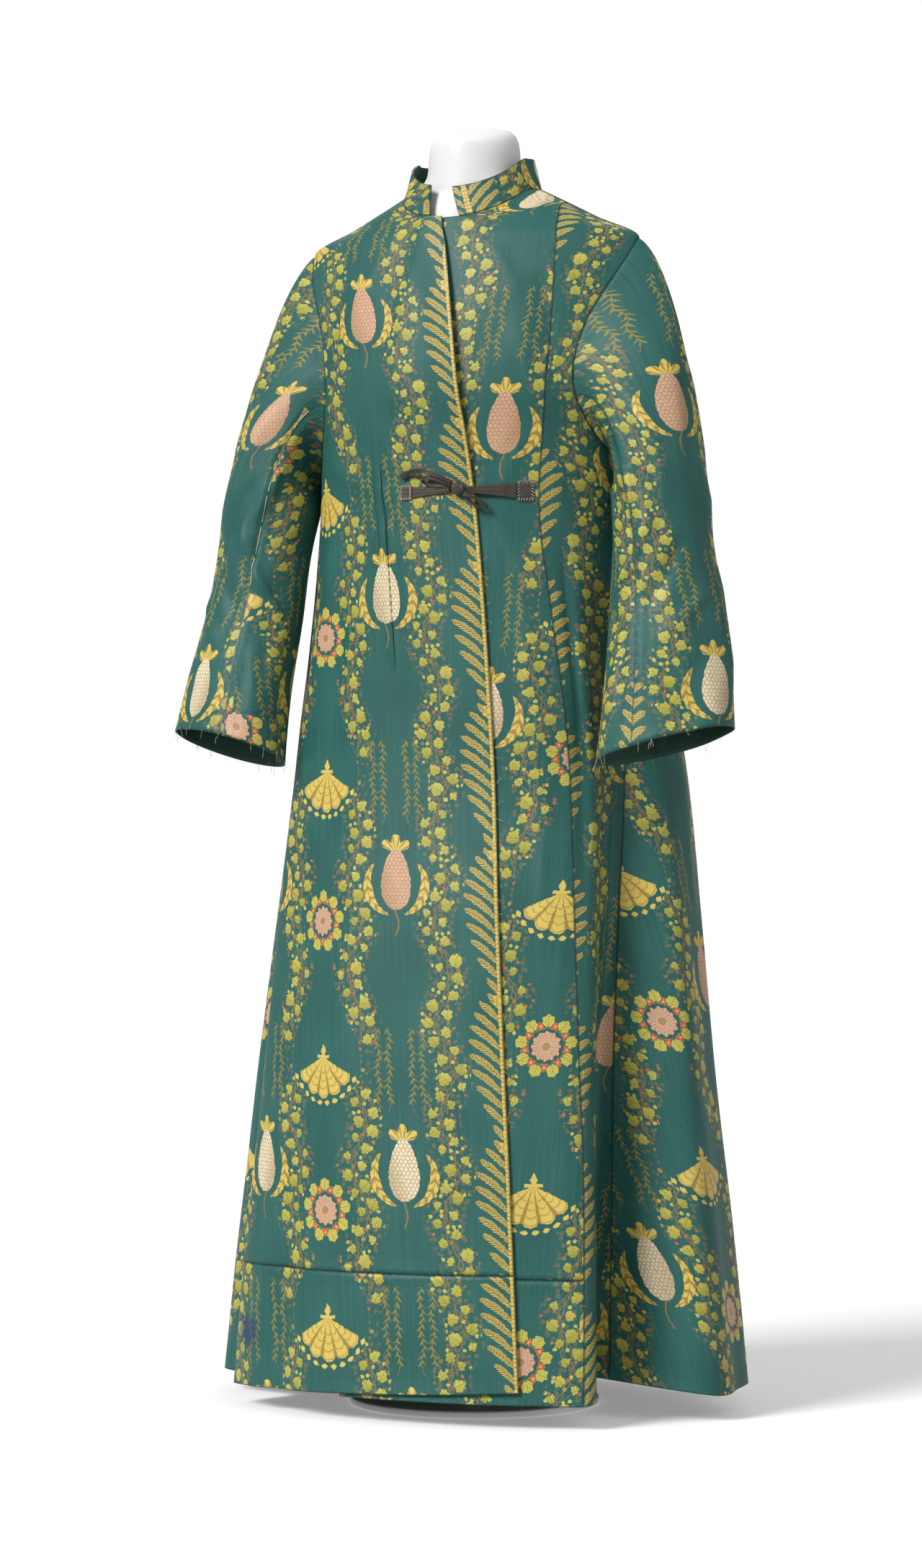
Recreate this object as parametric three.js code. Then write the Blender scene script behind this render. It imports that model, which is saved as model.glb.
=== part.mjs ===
// A long silk banyan on a limbless dress form. Millimetres, +Z up, origin on the floor under the neck.
// The wearer faces -Y, so the wearer's left is +X. Every panel of cloth is a wall that follows one
// surface, the skin: rings round the body, one for each height, pressed in by the folds of the skirt.
import * as THREE from 'three';

const { clamp, degToRad, lerp, radToDeg, smoothstep } = THREE.MathUtils;

// ---- Cloth and seams ------------------------------------------------------------------------------
const CLOTH = 2; // the silk with its turnings
const SEAM_GAP = 0.3; // between two panels that are sewn together
const LAP_LIFT = 3.4; // the right front over the left front, outer face to outer face
const HEM_BAND_TOP = 163; // height of the seam of the hem bands

// ---- The skin: one ring for each height -----------------------------------------------------------
// half: half width. front, back: reach before and behind the shoulder line. side: how far behind it
// the widest point lies. square: 2 is an ellipse, more is squarer, less is pointed at the sides.
const SECTIONS = [
  { z: 35, half: 310, front: 204, back: 258, side: 27, square: 2.2 },
  { z: 150, half: 298, front: 195, back: 249, side: 26, square: 2.2 },
  { z: 344, half: 274, front: 178, back: 235, side: 28, square: 2.2 },
  { z: 538, half: 252, front: 154, back: 220, side: 34, square: 2.2 },
  { z: 700, half: 233, front: 129, back: 203, side: 40, square: 2.2 },
  { z: 765, half: 223, front: 124, back: 189, side: 36, square: 2.2 },
  { z: 850, half: 208, front: 120, back: 169, side: 28, square: 2.15 },
  { z: 913, half: 198, front: 117, back: 156, side: 22, square: 2.1 },
  { z: 990, half: 190, front: 114, back: 143, side: 15, square: 2.1 },
  { z: 1040, half: 186, front: 114, back: 138, side: 12, square: 2.15 },
  { z: 1089, half: 183, front: 116, back: 132, side: 10, square: 2.2 },
  { z: 1120, half: 184, front: 118, back: 126, side: 6, square: 2.2 },
  { z: 1200, half: 196, front: 108, back: 118, side: 2, square: 2 },
  { z: 1262, half: 203, front: 93, back: 104, side: 0, square: 1.8 },
  { z: 1298, half: 200, front: 83, back: 92, side: 0, square: 1.6 },
  { z: 1323, half: 150, front: 75, back: 84, side: 0, square: 1.5 },
  { z: 1342, half: 112, front: 69, back: 78, side: 0, square: 1.5 },
  { z: 1360, half: 75, front: 60, back: 71, side: 0, square: 1.6 },
];
const HEM = SECTIONS[0].z;
const NECK_PIT = 1323; // lowest point of the neckline, at the centre front
const NECK_TOP = 1357; // the neckline at the shoulder and across the back
const NECK_HALF = 75; // half width of the neckline

// Folds of the skirt. upper, lower: degrees round from the centre front, towards the wearer's left, at
// the fold's top and at the hem. spread: half its width in degrees. depth: inwards, at the hem.
const FOLDS = [
  { upper: 36, lower: 38, spread: 8, depth: -8, top: 1000 },
  { upper: 66, lower: 57, spread: 18, depth: 120, top: 1010 },
  { upper: 82, lower: 79, spread: 11, depth: -10, top: 900 },
  { upper: 112, lower: 112, spread: 17, depth: 38, top: 800 },
  { upper: 152, lower: 150, spread: 14, depth: 30, top: 700 },
  { upper: 180, lower: 180, spread: 13, depth: -14, top: 760 },
  { upper: 204, lower: 206, spread: 15, depth: 34, top: 750 },
  { upper: 238, lower: 240, spread: 13, depth: 26, top: 650 },
  { upper: 294, lower: 297, spread: 16, depth: 60, top: 900 },
  { upper: 330, lower: 330, spread: 8, depth: 7, top: 700 },
];
const FOLD_GROWTH = 1.2; // power by which a fold deepens towards the hem

// Height of the hem round the body, for the body of the garment and for the lapping right front.
const HEM_LINE = [
  { turn: -40, height: 27 },
  { turn: 36, height: 26 },
  { turn: 57, height: 43 },
  { turn: 79, height: 28 },
  { turn: 112, height: 34 },
  { turn: 180, height: 35 },
  { turn: 240, height: 31 },
  { turn: 298, height: 22 },
];
const RIGHT_HEM_LINE = [
  { turn: -62, height: 22 },
  { turn: -20, height: 28 },
  { turn: 25, height: 40 },
];
const HEM_BLEND = 200; // height over which the hem's rise and fall dies out

// ---- Edges of the panels --------------------------------------------------------------------------
// Distance across from the centre front, by height, of the two free front edges and of the seam
// between the left front and the left side front.
const EDGES = [
  { z: 35, rightEdge: 139, leftEdge: -70, sideFront: 200 },
  { z: 250, rightEdge: 123, leftEdge: -61, sideFront: 193 },
  { z: 420, rightEdge: 108, leftEdge: -53, sideFront: 181 },
  { z: 610, rightEdge: 90, leftEdge: -44, sideFront: 165 },
  { z: 770, rightEdge: 76, leftEdge: -36, sideFront: 150 },
  { z: 880, rightEdge: 66, leftEdge: -30, sideFront: 133 },
  { z: 1007, rightEdge: 53, leftEdge: -25, sideFront: 119 },
  { z: 1110, rightEdge: 40, leftEdge: -19, sideFront: 126 },
  { z: 1200, rightEdge: 26, leftEdge: -13, sideFront: 130 },
  { z: 1290, rightEdge: 6, leftEdge: -9, sideFront: 126 },
  { z: 1323, rightEdge: -3, leftEdge: -9, sideFront: 118 },
  { z: 1340, rightEdge: -3, leftEdge: -9, sideFront: 112 },
];
const SIDE_FRONT_TOP = 1340; // where that seam runs out on the shoulder
const SEAM_SHY = 2; // how far that seam stays inside the widest point of a ring
// Where the side seams lie, in degrees from the centre front.
const SIDE_SEAMS = [
  { z: 35, turn: 62 },
  { z: 730, turn: 68 },
  { z: 1015, turn: 88 },
  { z: 1040, turn: 90 },
];
// The right front lies on the left front from the lap on, and stands off a little near its free edge.
const LAP = [
  { z: 35, from: 62, to: 32, gape: 0 },
  { z: 1007, from: 60, to: 30, gape: 0 },
  { z: 1050, from: 58, to: 30, gape: 2 },
  { z: 1150, from: 54, to: 28, gape: 6 },
  { z: 1230, from: 46, to: 24, gape: 5 },
  { z: 1323, from: 30, to: 14, gape: 0 },
];
const GAPE_REACH = 45; // width of the strip that stands off

// ---- Armholes and sleeves -------------------------------------------------------------------------
const ARMHOLE = { bottom: 1040, top: 1298, frontNotch: 37, backNotch: 28, roundness: 1.1, spacing: 1.4 };
const SLEEVE_SIDES = 18; // lengthwise lines of a sleeve
const SLEEVE_GAP = 0.4;
const CAP_STEPS = 8; // rings of the sleeve cap, between armhole and upper arm
// How the cap leaves the armhole, on top and under the arm: the slope of its lengthwise lines and how
// far they hold it, as a share of their length. Then the way in which they reach the upper arm.
const CAP = { topSlope: -0.45, topHold: 0.42, underSlope: 0.3, underHold: 0.9 };
const CAP_END = new THREE.Vector3(0.18, 0, -0.98);
// The left sleeve's rings: centre, half width across (outer) and along (front), and its turn.
const SLEEVE = [
  { z: 735, x: 266, y: -82, outer: 75, front: 52, turn: 22 },
  { z: 810, x: 262, y: -68, outer: 69, front: 50, turn: 22 },
  { z: 900, x: 252, y: -48, outer: 61, front: 48, turn: 20 },
  { z: 970, x: 244, y: -38, outer: 55, front: 52, turn: 14 },
  { z: 1005, x: 241, y: -31, outer: 55, front: 58, turn: 9 },
];
const SLEEVE_ROWS = [970, 935, 900, 860, 820, 780, 735];
const CUFF_SLOPE = { outer: 0.25, front: 0.2 }; // the cuff rises outwards and forwards

// ---- Collar and ties ------------------------------------------------------------------------------
const COLLAR = { height: 35, thick: 2.5, lean: 10, rightEnd: -20, leftEnd: 15, step: 6 };
const COLLAR_SKEW = { right: 10, left: 13 }; // how far its ends slant towards the wearer's right
const TIE = { z: 1015, thick: 1.2, seat: 0.35 };
const TABS = [
  { name: 'tie_tab_right', x: -28, width: 13, height: 15, thick: 1.8, on: LAP_LIFT },
  { name: 'tie_tab_left', x: 106, width: 16, height: 20, thick: 1.8, on: 0 },
];
const KNOT = { x: 35, z: 1018, across: 8, tall: 7.5, out: 4.2, off: 5.2 };
// Ribbons, by stations: off is how far the middle of the ribbon lies outside the right front, lean how
// many degrees its width is turned from upright.
const RIBBONS = {
  tie_right: [
    { x: -20.8, z: 1015, off: 1.2, width: 13, lean: 0 },
    { x: -6, z: 1015.4, off: 1.2, width: 9, lean: 0 },
    { x: 10, z: 1016, off: 1.8, width: 7, lean: 0 },
    { x: 25.6, z: 1017, off: 3.6, width: 6, lean: 0 },
  ],
  tie_left: [
    { x: 44.4, z: 1017, off: 3.6, width: 6, lean: 0 },
    { x: 52, z: 1016.6, off: 2.2, width: 7, lean: 0 },
    { x: 60, z: 1016, off: 1.3, width: 9, lean: 0 },
    { x: 78, z: 1015.4, off: -0.6, width: 12, lean: 0 },
    { x: 97.2, z: 1015, off: -2.3, width: 17, lean: 0 },
  ],
  tie_tail_left: [
    { x: 29.9, z: 1024.3, off: 7.4, width: 5, lean: 28 },
    { x: 9, z: 1033, off: 9.4, width: 6.5, lean: 22 },
    { x: -7, z: 1037.5, off: 8.4, width: 7, lean: 8 },
    { x: -21, z: 1036.5, off: 5.8, width: 7.5, lean: -12 },
    { x: -33, z: 1032, off: 3.4, width: 8, lean: -20 },
  ],
  tie_loop_left: [
    { x: 27.9, z: 1021.5, off: 5.9, width: 4, lean: 25 },
    { x: 13, z: 1027.6, off: 6.8, width: 5, lean: 25 },
    { x: 3, z: 1031, off: 6.4, width: 5, lean: 22 },
    { x: -3, z: 1030, off: 4.4, width: 5, lean: 12 },
    { x: 3, z: 1025.6, off: 2.8, width: 5, lean: 8 },
    { x: 13, z: 1023.4, off: 2.8, width: 4, lean: 4 },
    { x: 22.6, z: 1023, off: 3.2, width: 3, lean: 2 },
  ],
  tie_loop_right: [
    { x: 40.8, z: 1012.4, off: 5.9, width: 4, lean: -38 },
    { x: 51, z: 1005.4, off: 7, width: 5, lean: -32 },
    { x: 59, z: 1000.8, off: 6.4, width: 5, lean: -28 },
    { x: 65, z: 999.4, off: 4.2, width: 5, lean: -25 },
    { x: 59, z: 1003.4, off: 2.6, width: 4, lean: -28 },
    { x: 52, z: 1005.4, off: 2.6, width: 3, lean: -30 },
    { x: 45, z: 1008.6, off: 2.8, width: 2.5, lean: -34 },
  ],
};
const RIBBON_STEPS = 3; // pieces between two stations

// ---- Dress form -----------------------------------------------------------------------------------
// How far the form lies inside the skin, by height, at the sides and at the middle of front and back.
// Its shoulders carry the cloth.
const FORM_INSET = [
  { z: 640, side: 62, middle: 62 },
  { z: 700, side: 60, middle: 60 },
  { z: 800, side: 50, middle: 50 },
  { z: 900, side: 38, middle: 38 },
  { z: 1000, side: 25, middle: 25 },
  { z: 1110, side: 9, middle: 8 },
  { z: 1200, side: 4.6, middle: 4 },
  { z: 1270, side: 3.8, middle: 3.8 },
  { z: 1300, side: 3.9, middle: 4.4 },
  { z: 1323, side: 3.3, middle: 6.5 },
  { z: 1340, side: 3.2, middle: 6.5 },
  { z: 1357, side: 5.5, middle: 7.5 },
];
const FORM_ROWS = [640, 670, 720, 780, 840, 900, 960, 1020, 1077, 1120, 1169, 1218, 1260];
const FORM_SIDES = 36;
const NECK = { baseRadius: 53, topRadius: 50, base: 1374, top: 1428, slope: 0.34 };
const NECK_ROWS = [1362, 1368, 1376, 1392];
const POLE = { radius: 16, sides: 24 };
const BASE = { radius: 140, height: 8, sides: 48 };

const COLOURS = {
  silk: '#2f6f69', silkBand: '#2d6a65', collar: '#31736c', tie: '#473c3a', form: '#e9e8e4',
  metal: '#b9bab8',
};

// ---- Tables and small geometry --------------------------------------------------------------------
// A smooth curve through one column of a table, which never overshoots its rows.
function curveOf(table, column, by = 'z') {
  const at = table.map((row) => row[by]);
  const value = table.map((row) => row[column]);
  const rise = at.slice(1).map((next, i) => (value[i + 1] - value[i]) / (next - at[i]));
  const slope = value.map((_, i) => {
    if (i === 0) return rise[0];
    if (i === rise.length) return rise[i - 1];
    return rise[i - 1] * rise[i] <= 0 ? 0 : 2 / (1 / rise[i - 1] + 1 / rise[i]);
  });
  return (wanted) => {
    const x = clamp(wanted, at[0], at[at.length - 1]);
    const i = Math.max(0, at.slice(1, -1).filter((edge) => edge < x).length);
    const width = at[i + 1] - at[i];
    const t = (x - at[i]) / width;
    const bend = t * t * (3 - 2 * t);
    const leave = t * (1 - t) * (1 - t) * width * slope[i];
    const arrive = t * t * (t - 1) * width * slope[i + 1];
    return lerp(value[i], value[i + 1], bend) + leave + arrive;
  };
}

const halfWidth = curveOf(SECTIONS, 'half');
const frontReach = curveOf(SECTIONS, 'front');
const backReach = curveOf(SECTIONS, 'back');
const sideDepth = curveOf(SECTIONS, 'side');
const squareness = curveOf(SECTIONS, 'square');
const rightEdge = curveOf(EDGES, 'rightEdge');
const leftEdge = curveOf(EDGES, 'leftEdge');
const sideFrontSeam = curveOf(EDGES, 'sideFront');
const sideSeam = curveOf(SIDE_SEAMS, 'turn');
const lapFrom = curveOf(LAP, 'from');
const lapTo = curveOf(LAP, 'to');
const lapGape = curveOf(LAP, 'gape');
const hemCurve = curveOf(HEM_LINE, 'height', 'turn');
const hemLine = (turn) => hemCurve(turn < HEM_LINE[0].turn ? turn + 360 : turn);
const rightHemLine = curveOf(RIGHT_HEM_LINE, 'height', 'turn');
const formSideInset = curveOf(FORM_INSET, 'side');
const formMiddleInset = curveOf(FORM_INSET, 'middle');

function ringPoint(turn, z) {
  const angle = degToRad(turn);
  const power = 2 / squareness(z);
  const across = Math.sign(Math.sin(angle)) * Math.abs(Math.sin(angle)) ** power;
  const deep = Math.abs(Math.cos(angle)) ** power;
  const side = sideDepth(z);
  const reach = Math.cos(angle) > 0 ? -frontReach(z) - side : backReach(z) - side;
  return new THREE.Vector3(halfWidth(z) * across, side + reach * deep, z);
}

// The turn, in front of the body, at which a ring lies x across.
function turnAt(x, z) {
  const share = clamp(Math.abs(x) / halfWidth(z), 0, 1);
  return Math.sign(x) * radToDeg(Math.asin(share ** (squareness(z) / 2)));
}

function foldDepth(turn, z) {
  let depth = 0;
  for (const fold of FOLDS) {
    const down = clamp((fold.top - z) / (fold.top - HEM), 0, 1);
    const middle = lerp(fold.upper, fold.lower, down);
    const aside = Math.abs(((turn - middle + 540) % 360) - 180);
    if (aside < fold.spread) {
      depth += fold.depth * down ** FOLD_GROWTH * (1 + Math.cos((Math.PI * aside) / fold.spread)) / 2;
    }
  }
  return depth;
}

function skin(turn, z, hem = hemLine) {
  const point = ringPoint(turn, z);
  const outwards = new THREE.Vector3(point.x, point.y - sideDepth(z), 0).normalize();
  point.addScaledVector(outwards, -foldDepth(turn, z));
  const low = 1 - smoothstep(z, HEM, HEM + HEM_BLEND);
  point.z += low * (hem(turn) - HEM);
  return point;
}

function skinNormal(turn, z, hem) {
  const TURN_STEP = 0.6;
  const HEIGHT_STEP = 2;
  const along = skin(turn + TURN_STEP, z, hem).sub(skin(turn - TURN_STEP, z, hem));
  const up = skin(turn, z + HEIGHT_STEP, hem).sub(skin(turn, z - HEIGHT_STEP, hem));
  return along.cross(up).normalize();
}

// A point of the cloth, moved out along the skin's normal.
function clothPoint(turn, z, out, hem) {
  return skin(turn, z, hem).addScaledVector(skinNormal(turn, z, hem), out);
}

// How far the right front lies outside the skin.
function lapLift(x, z) {
  const start = leftEdge(z) - lapFrom(z);
  const full = leftEdge(z) - lapTo(z);
  const gape = lapGape(z) * smoothstep(x, rightEdge(z) - GAPE_REACH, rightEdge(z));
  return LAP_LIFT * smoothstep(x, start, full) + gape;
}

// ---- Solids ---------------------------------------------------------------------------------------
function meshOf(name, points, faces, colour, roughness = 0.6, metalness = 0) {
  const geometry = new THREE.BufferGeometry();
  const coordinates = points.flatMap((p) => [p.x, p.y, p.z]);
  geometry.setAttribute('position', new THREE.Float32BufferAttribute(coordinates, 3));
  const volume = faces.reduce((sum, [a, b, c]) => {
    const normal = new THREE.Vector3().crossVectors(points[b], points[c]);
    return sum + points[a].dot(normal);
  }, 0);
  const outward = volume < 0 ? faces.map(([a, b, c]) => [a, c, b]) : faces;
  geometry.setIndex(outward.flat());
  geometry.computeVertexNormals();
  const material = new THREE.MeshStandardMaterial({ color: colour, roughness, metalness });
  const mesh = new THREE.Mesh(geometry, material);
  mesh.name = name;
  return mesh;
}

// A wall between an outer and an inner grid of points, closed round its edges. With `around`, the
// last column joins the first and the wall is a tube that is open at both ends.
function wall(name, outer, inner, colour, around = false) {
  const rows = outer.length;
  const columns = outer[0].length;
  const points = [...outer.flat(), ...inner.flat()];
  const shift = rows * columns;
  const id = (r, c) => r * columns + (c % columns);
  const faces = [];
  const quad = (a, b, c, d) => faces.push([a, b, c], [a, c, d]);
  const lastColumn = around ? columns : columns - 1;
  for (let r = 0; r < rows - 1; r += 1) {
    for (let c = 0; c < lastColumn; c += 1) {
      quad(id(r, c), id(r, c + 1), id(r + 1, c + 1), id(r + 1, c));
      quad(shift + id(r, c), shift + id(r + 1, c), shift + id(r + 1, c + 1), shift + id(r, c + 1));
    }
  }
  for (let c = 0; c < lastColumn; c += 1) {
    quad(id(0, c), shift + id(0, c), shift + id(0, c + 1), id(0, c + 1));
    const r = rows - 1;
    quad(id(r, c), id(r, c + 1), shift + id(r, c + 1), shift + id(r, c));
  }
  for (let r = 0; r < rows - 1 && !around; r += 1) {
    quad(id(r, 0), id(r + 1, 0), shift + id(r + 1, 0), shift + id(r, 0));
    const c = columns - 1;
    quad(id(r, c), shift + id(r, c), shift + id(r + 1, c), id(r + 1, c));
  }
  return meshOf(name, points, faces, colour);
}

// A solid through closed rings of points, shut by a fan at each end.
function loft(name, rings, colour, roughness, metalness) {
  const sides = rings[0].length;
  const points = rings.flat();
  const faces = [];
  for (let r = 0; r < rings.length - 1; r += 1) {
    for (let c = 0; c < sides; c += 1) {
      const a = r * sides + c;
      const b = r * sides + ((c + 1) % sides);
      faces.push([a, b, b + sides], [a, b + sides, a + sides]);
    }
  }
  const last = (rings.length - 1) * sides;
  for (let c = 1; c < sides - 1; c += 1) {
    faces.push([0, c + 1, c], [last, last + c, last + c + 1]);
  }
  return meshOf(name, points, faces, colour, roughness, metalness);
}

// ---- Panels ---------------------------------------------------------------------------------------
// Height of the armhole's edge. round: 0 on top, 180 at the bottom.
function armholeHeight(round) {
  const middle = (ARMHOLE.top + ARMHOLE.bottom) / 2;
  const reach = (ARMHOLE.top - ARMHOLE.bottom) / 2;
  const rise = Math.cos(degToRad(round));
  return middle + reach * Math.sign(rise) * Math.abs(rise) ** ARMHOLE.spacing;
}
const armholeRing = Array.from({ length: SLEEVE_SIDES / 2 + 1 }, (_, i) => (
  armholeHeight(180 - (360 * i) / SLEEVE_SIDES)
));
const SKIRT_ROWS = [HEM_BAND_TOP, 250, 340, 430, 520, 610, 700, 770, 830, 885, 940, 990];
const BAND_ROWS = [HEM, 100, HEM_BAND_TOP];
const SHOULDER_ROWS = [1311, NECK_PIT];
const NECK_EDGE_ROWS = [1327, 1333, SIDE_FRONT_TOP, 1348, NECK_TOP];
const BODY_ROWS = [...SKIRT_ROWS, ...armholeRing, ...SHOULDER_ROWS, ...NECK_EDGE_ROWS];

function necklineHalf(z) {
  const up = clamp((z - NECK_PIT) / (SECTIONS[SECTIONS.length - 1].z - NECK_PIT), 0, 1);
  return NECK_HALF * Math.sqrt(1 - (1 - up) ** 2);
}

function armholeAcross(z, notch) {
  const up = (z - ARMHOLE.bottom) / (ARMHOLE.top - ARMHOLE.bottom);
  return halfWidth(z) - notch * Math.max(0, Math.sin(Math.PI * up)) ** ARMHOLE.roundness;
}

// The turn at which a front or back panel ends at the side: side seam, armhole or shoulder seam.
function sideEnd(z, notch) {
  if (z <= ARMHOLE.bottom) return sideSeam(z);
  return z < ARMHOLE.top ? turnAt(armholeAcross(z, notch), z) : 90;
}
const frontSide = (z) => sideEnd(z, ARMHOLE.frontNotch);
const backSide = (z) => (z <= ARMHOLE.bottom ? sideSeam(z) : 180 - sideEnd(z, ARMHOLE.backNotch));
function seamTurn(z) {
  if (z > SIDE_FRONT_TOP) return 90;
  return turnAt(Math.min(sideFrontSeam(z), halfWidth(z) - SEAM_SHY), z);
}
const rightFrontEnd = (z) => turnAt(z > NECK_PIT ? -necklineHalf(z) : rightEdge(z), z);
const leftFrontStart = (z) => turnAt(z > NECK_PIT ? necklineHalf(z) : leftEdge(z), z);

// The outer and inner points of a panel. Each row runs from one turn to the other, and its two ends
// are drawn in by half a seam.
function panelGrids({ rows, from, to, columns, lift = () => 0, hem, trim = { first: 0, last: 0 } }) {
  const outer = [];
  const inner = [];
  rows.forEach((row, r) => {
    const z = row + (r === 0 ? trim.first : 0) - (r === rows.length - 1 ? trim.last : 0);
    const turns = Array.from({ length: columns }, (_, c) => lerp(from(row), to(row), c / (columns - 1)));
    for (const [grid, out] of [[outer, 0], [inner, -CLOTH]]) {
      const line = turns.map((turn) => {
        const off = lift(ringPoint(turn, z).x, z);
        return clothPoint(turn, z, off + out, hem);
      });
      drawIn(line, 0, 1);
      drawIn(line, columns - 1, columns - 2);
      grid.push(line);
    }
  });
  return { outer, inner };
}

function drawIn(line, end, next) {
  const step = new THREE.Vector3().subVectors(line[next], line[end]);
  line[end].addScaledVector(step.normalize(), SEAM_GAP / 2);
}

const rightFront = {
  from: (z) => -frontSide(z), to: rightFrontEnd, columns: 16, lift: lapLift, hem: rightHemLine,
};
const leftFront = { from: leftFrontStart, to: seamTurn, columns: 11 };
const leftSide = { from: seamTurn, to: frontSide, columns: 9 };
const leftBack = { from: backSide, to: () => 180, columns: 15 };
const rightBack = { from: () => 180, to: (z) => 360 - backSide(z), columns: 15 };
const wholeRows = [...BAND_ROWS.slice(0, -1), ...BODY_ROWS];
const aboveBand = { first: SEAM_GAP / 2, last: 0 };
const belowBand = { first: 0, last: SEAM_GAP / 2 };
const PANELS = {
  front_right: { ...rightFront, rows: BODY_ROWS, trim: aboveBand },
  front_left: { ...leftFront, rows: BODY_ROWS, trim: aboveBand },
  side_front_left: { ...leftSide, rows: wholeRows.filter((z) => z <= SIDE_FRONT_TOP) },
  back_left: { ...leftBack, rows: wholeRows },
  back_right: { ...rightBack, rows: wholeRows },
  hem_band_right: { ...rightFront, rows: BAND_ROWS, trim: belowBand },
  hem_band_left: { ...leftFront, rows: BAND_ROWS, trim: belowBand },
};
const grids = Object.fromEntries(Object.entries(PANELS).map(([name, panel]) => [name, panelGrids(panel)]));

function buildPanels() {
  return Object.entries(grids).map(([name, { outer, inner }]) => {
    const colour = name.startsWith('hem_band') ? COLOURS.silkBand : COLOURS.silk;
    return wall(name, outer, inner, colour);
  });
}

// ---- Sleeves --------------------------------------------------------------------------------------
const sleeveCurves = Object.fromEntries(
  ['x', 'y', 'outer', 'front', 'turn'].map((column) => [column, curveOf(SLEEVE, column)]),
);

// A point of the left sleeve. round: 0 on top of the arm and outside, 90 in front, 180 under the arm.
function sleevePoint(round, z) {
  const angle = degToRad(round);
  const turn = degToRad(sleeveCurves.turn(z));
  const outwards = sleeveCurves.outer(z) * Math.cos(angle);
  const forwards = sleeveCurves.front(z) * Math.sin(angle);
  const x = sleeveCurves.x(z) + outwards * Math.cos(turn) + forwards * Math.sin(turn);
  const y = sleeveCurves.y(z) + outwards * Math.sin(turn) - forwards * Math.cos(turn);
  const last = SLEEVE[SLEEVE.length - 1].z;
  const down = (last - z) / (last - SLEEVE[0].z);
  const slant = down * down * (CUFF_SLOPE.outer * outwards + CUFF_SLOPE.front * forwards);
  return new THREE.Vector3(x, y, z + slant);
}

// A point on the edge of the left armhole, on the outer or inner face of the cloth, moved a sewing
// gap into the opening.
function armholePoint(round, out) {
  const z = armholeHeight(round);
  const turn = round <= 180 ? frontSide(z) : backSide(z);
  const point = clothPoint(turn, z, out);
  const centre = new THREE.Vector3(point.x, sideDepth(z), (ARMHOLE.top + ARMHOLE.bottom) / 2);
  const inwards = centre.sub(point).normalize();
  return point.addScaledVector(inwards, SLEEVE_GAP);
}

function capPoint(round, start, end, t) {
  const span = start.distanceTo(end);
  const under = (1 - Math.cos(degToRad(round))) / 2;
  const leave = new THREE.Vector3(1, 0, lerp(CAP.topSlope, CAP.underSlope, under)).normalize();
  leave.multiplyScalar(span * lerp(CAP.topHold, CAP.underHold, under));
  const arrive = CAP_END.clone().multiplyScalar(span);
  const point = new THREE.Vector3().addScaledVector(start, 1 - t * t * (3 - 2 * t));
  point.addScaledVector(end, t * t * (3 - 2 * t));
  point.addScaledVector(leave, t * (1 - t) * (1 - t));
  return point.addScaledVector(arrive, t * t * (t - 1));
}

function sleeveGrids() {
  const rounds = Array.from({ length: SLEEVE_SIDES }, (_, i) => (360 * i) / SLEEVE_SIDES);
  const upperArm = SLEEVE[SLEEVE.length - 1].z;
  const outer = [rounds.map((round) => armholePoint(round, 0))];
  for (let step = 1; step < CAP_STEPS; step += 1) {
    const t = step / CAP_STEPS;
    outer.push(rounds.map((round, i) => capPoint(round, outer[0][i], sleevePoint(round, upperArm), t)));
  }
  [upperArm, ...SLEEVE_ROWS].forEach((z) => outer.push(rounds.map((round) => sleevePoint(round, z))));
  const inner = outer.map((ring, r) => ring.map((point, c) => {
    if (r === 0) return armholePoint(rounds[c], -CLOTH);
    const next = ring[(c + 1) % SLEEVE_SIDES];
    const before = ring[(c + SLEEVE_SIDES - 1) % SLEEVE_SIDES];
    const above = outer[r - 1][c];
    const below = outer[Math.min(r + 1, outer.length - 1)][c];
    const inwards = new THREE.Vector3().subVectors(next, before).cross(above.clone().sub(below));
    return point.clone().addScaledVector(inwards.normalize(), CLOTH);
  }));
  return { outer, inner };
}

function buildSleeves() {
  const { outer, inner } = sleeveGrids();
  const mirror = (grid) => grid.map((ring) => ring.map((p) => new THREE.Vector3(-p.x, p.y, p.z)));
  return [
    wall('sleeve_left', outer, inner, COLOURS.silk, true),
    wall('sleeve_right', mirror(outer), mirror(inner), COLOURS.silk, true),
  ];
}

// ---- Collar ---------------------------------------------------------------------------------------
// The neckline, from the right front's edge round the back of the neck to the left front's edge.
function neckline() {
  const neckRows = (grid, column) => grid.slice(-NECK_EDGE_ROWS.length - 1).map((row) => row[column]);
  const right = neckRows(grids.front_right.outer, PANELS.front_right.columns - 1);
  const left = neckRows(grids.front_left.outer, 0).reverse();
  const topRow = (grid) => [...grid[grid.length - 1]].reverse();
  return [...right, ...topRow(grids.back_right.outer), ...topRow(grids.back_left.outer), ...left];
}

// A point at a length along a line of points.
function alongLine(line, length) {
  let rest = length;
  let i = 1;
  while (i < line.length - 1 && rest > line[i].distanceTo(line[i - 1])) {
    rest -= line[i].distanceTo(line[i - 1]);
    i += 1;
  }
  return line[i - 1].clone().lerp(line[i], rest / line[i].distanceTo(line[i - 1]));
}

// Lengths along the line of the collar's columns: its two ends and the points of the line between
// them, without those that crowd together at the shoulder seams.
function collarColumns(line, start, end) {
  const columns = [start];
  let length = 0;
  for (let i = 1; i < line.length; i += 1) {
    length += line[i].distanceTo(line[i - 1]);
    const last = columns[columns.length - 1];
    if (length > last + COLLAR.step && length < end - COLLAR.step) columns.push(length);
  }
  return [...columns, end];
}

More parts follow.
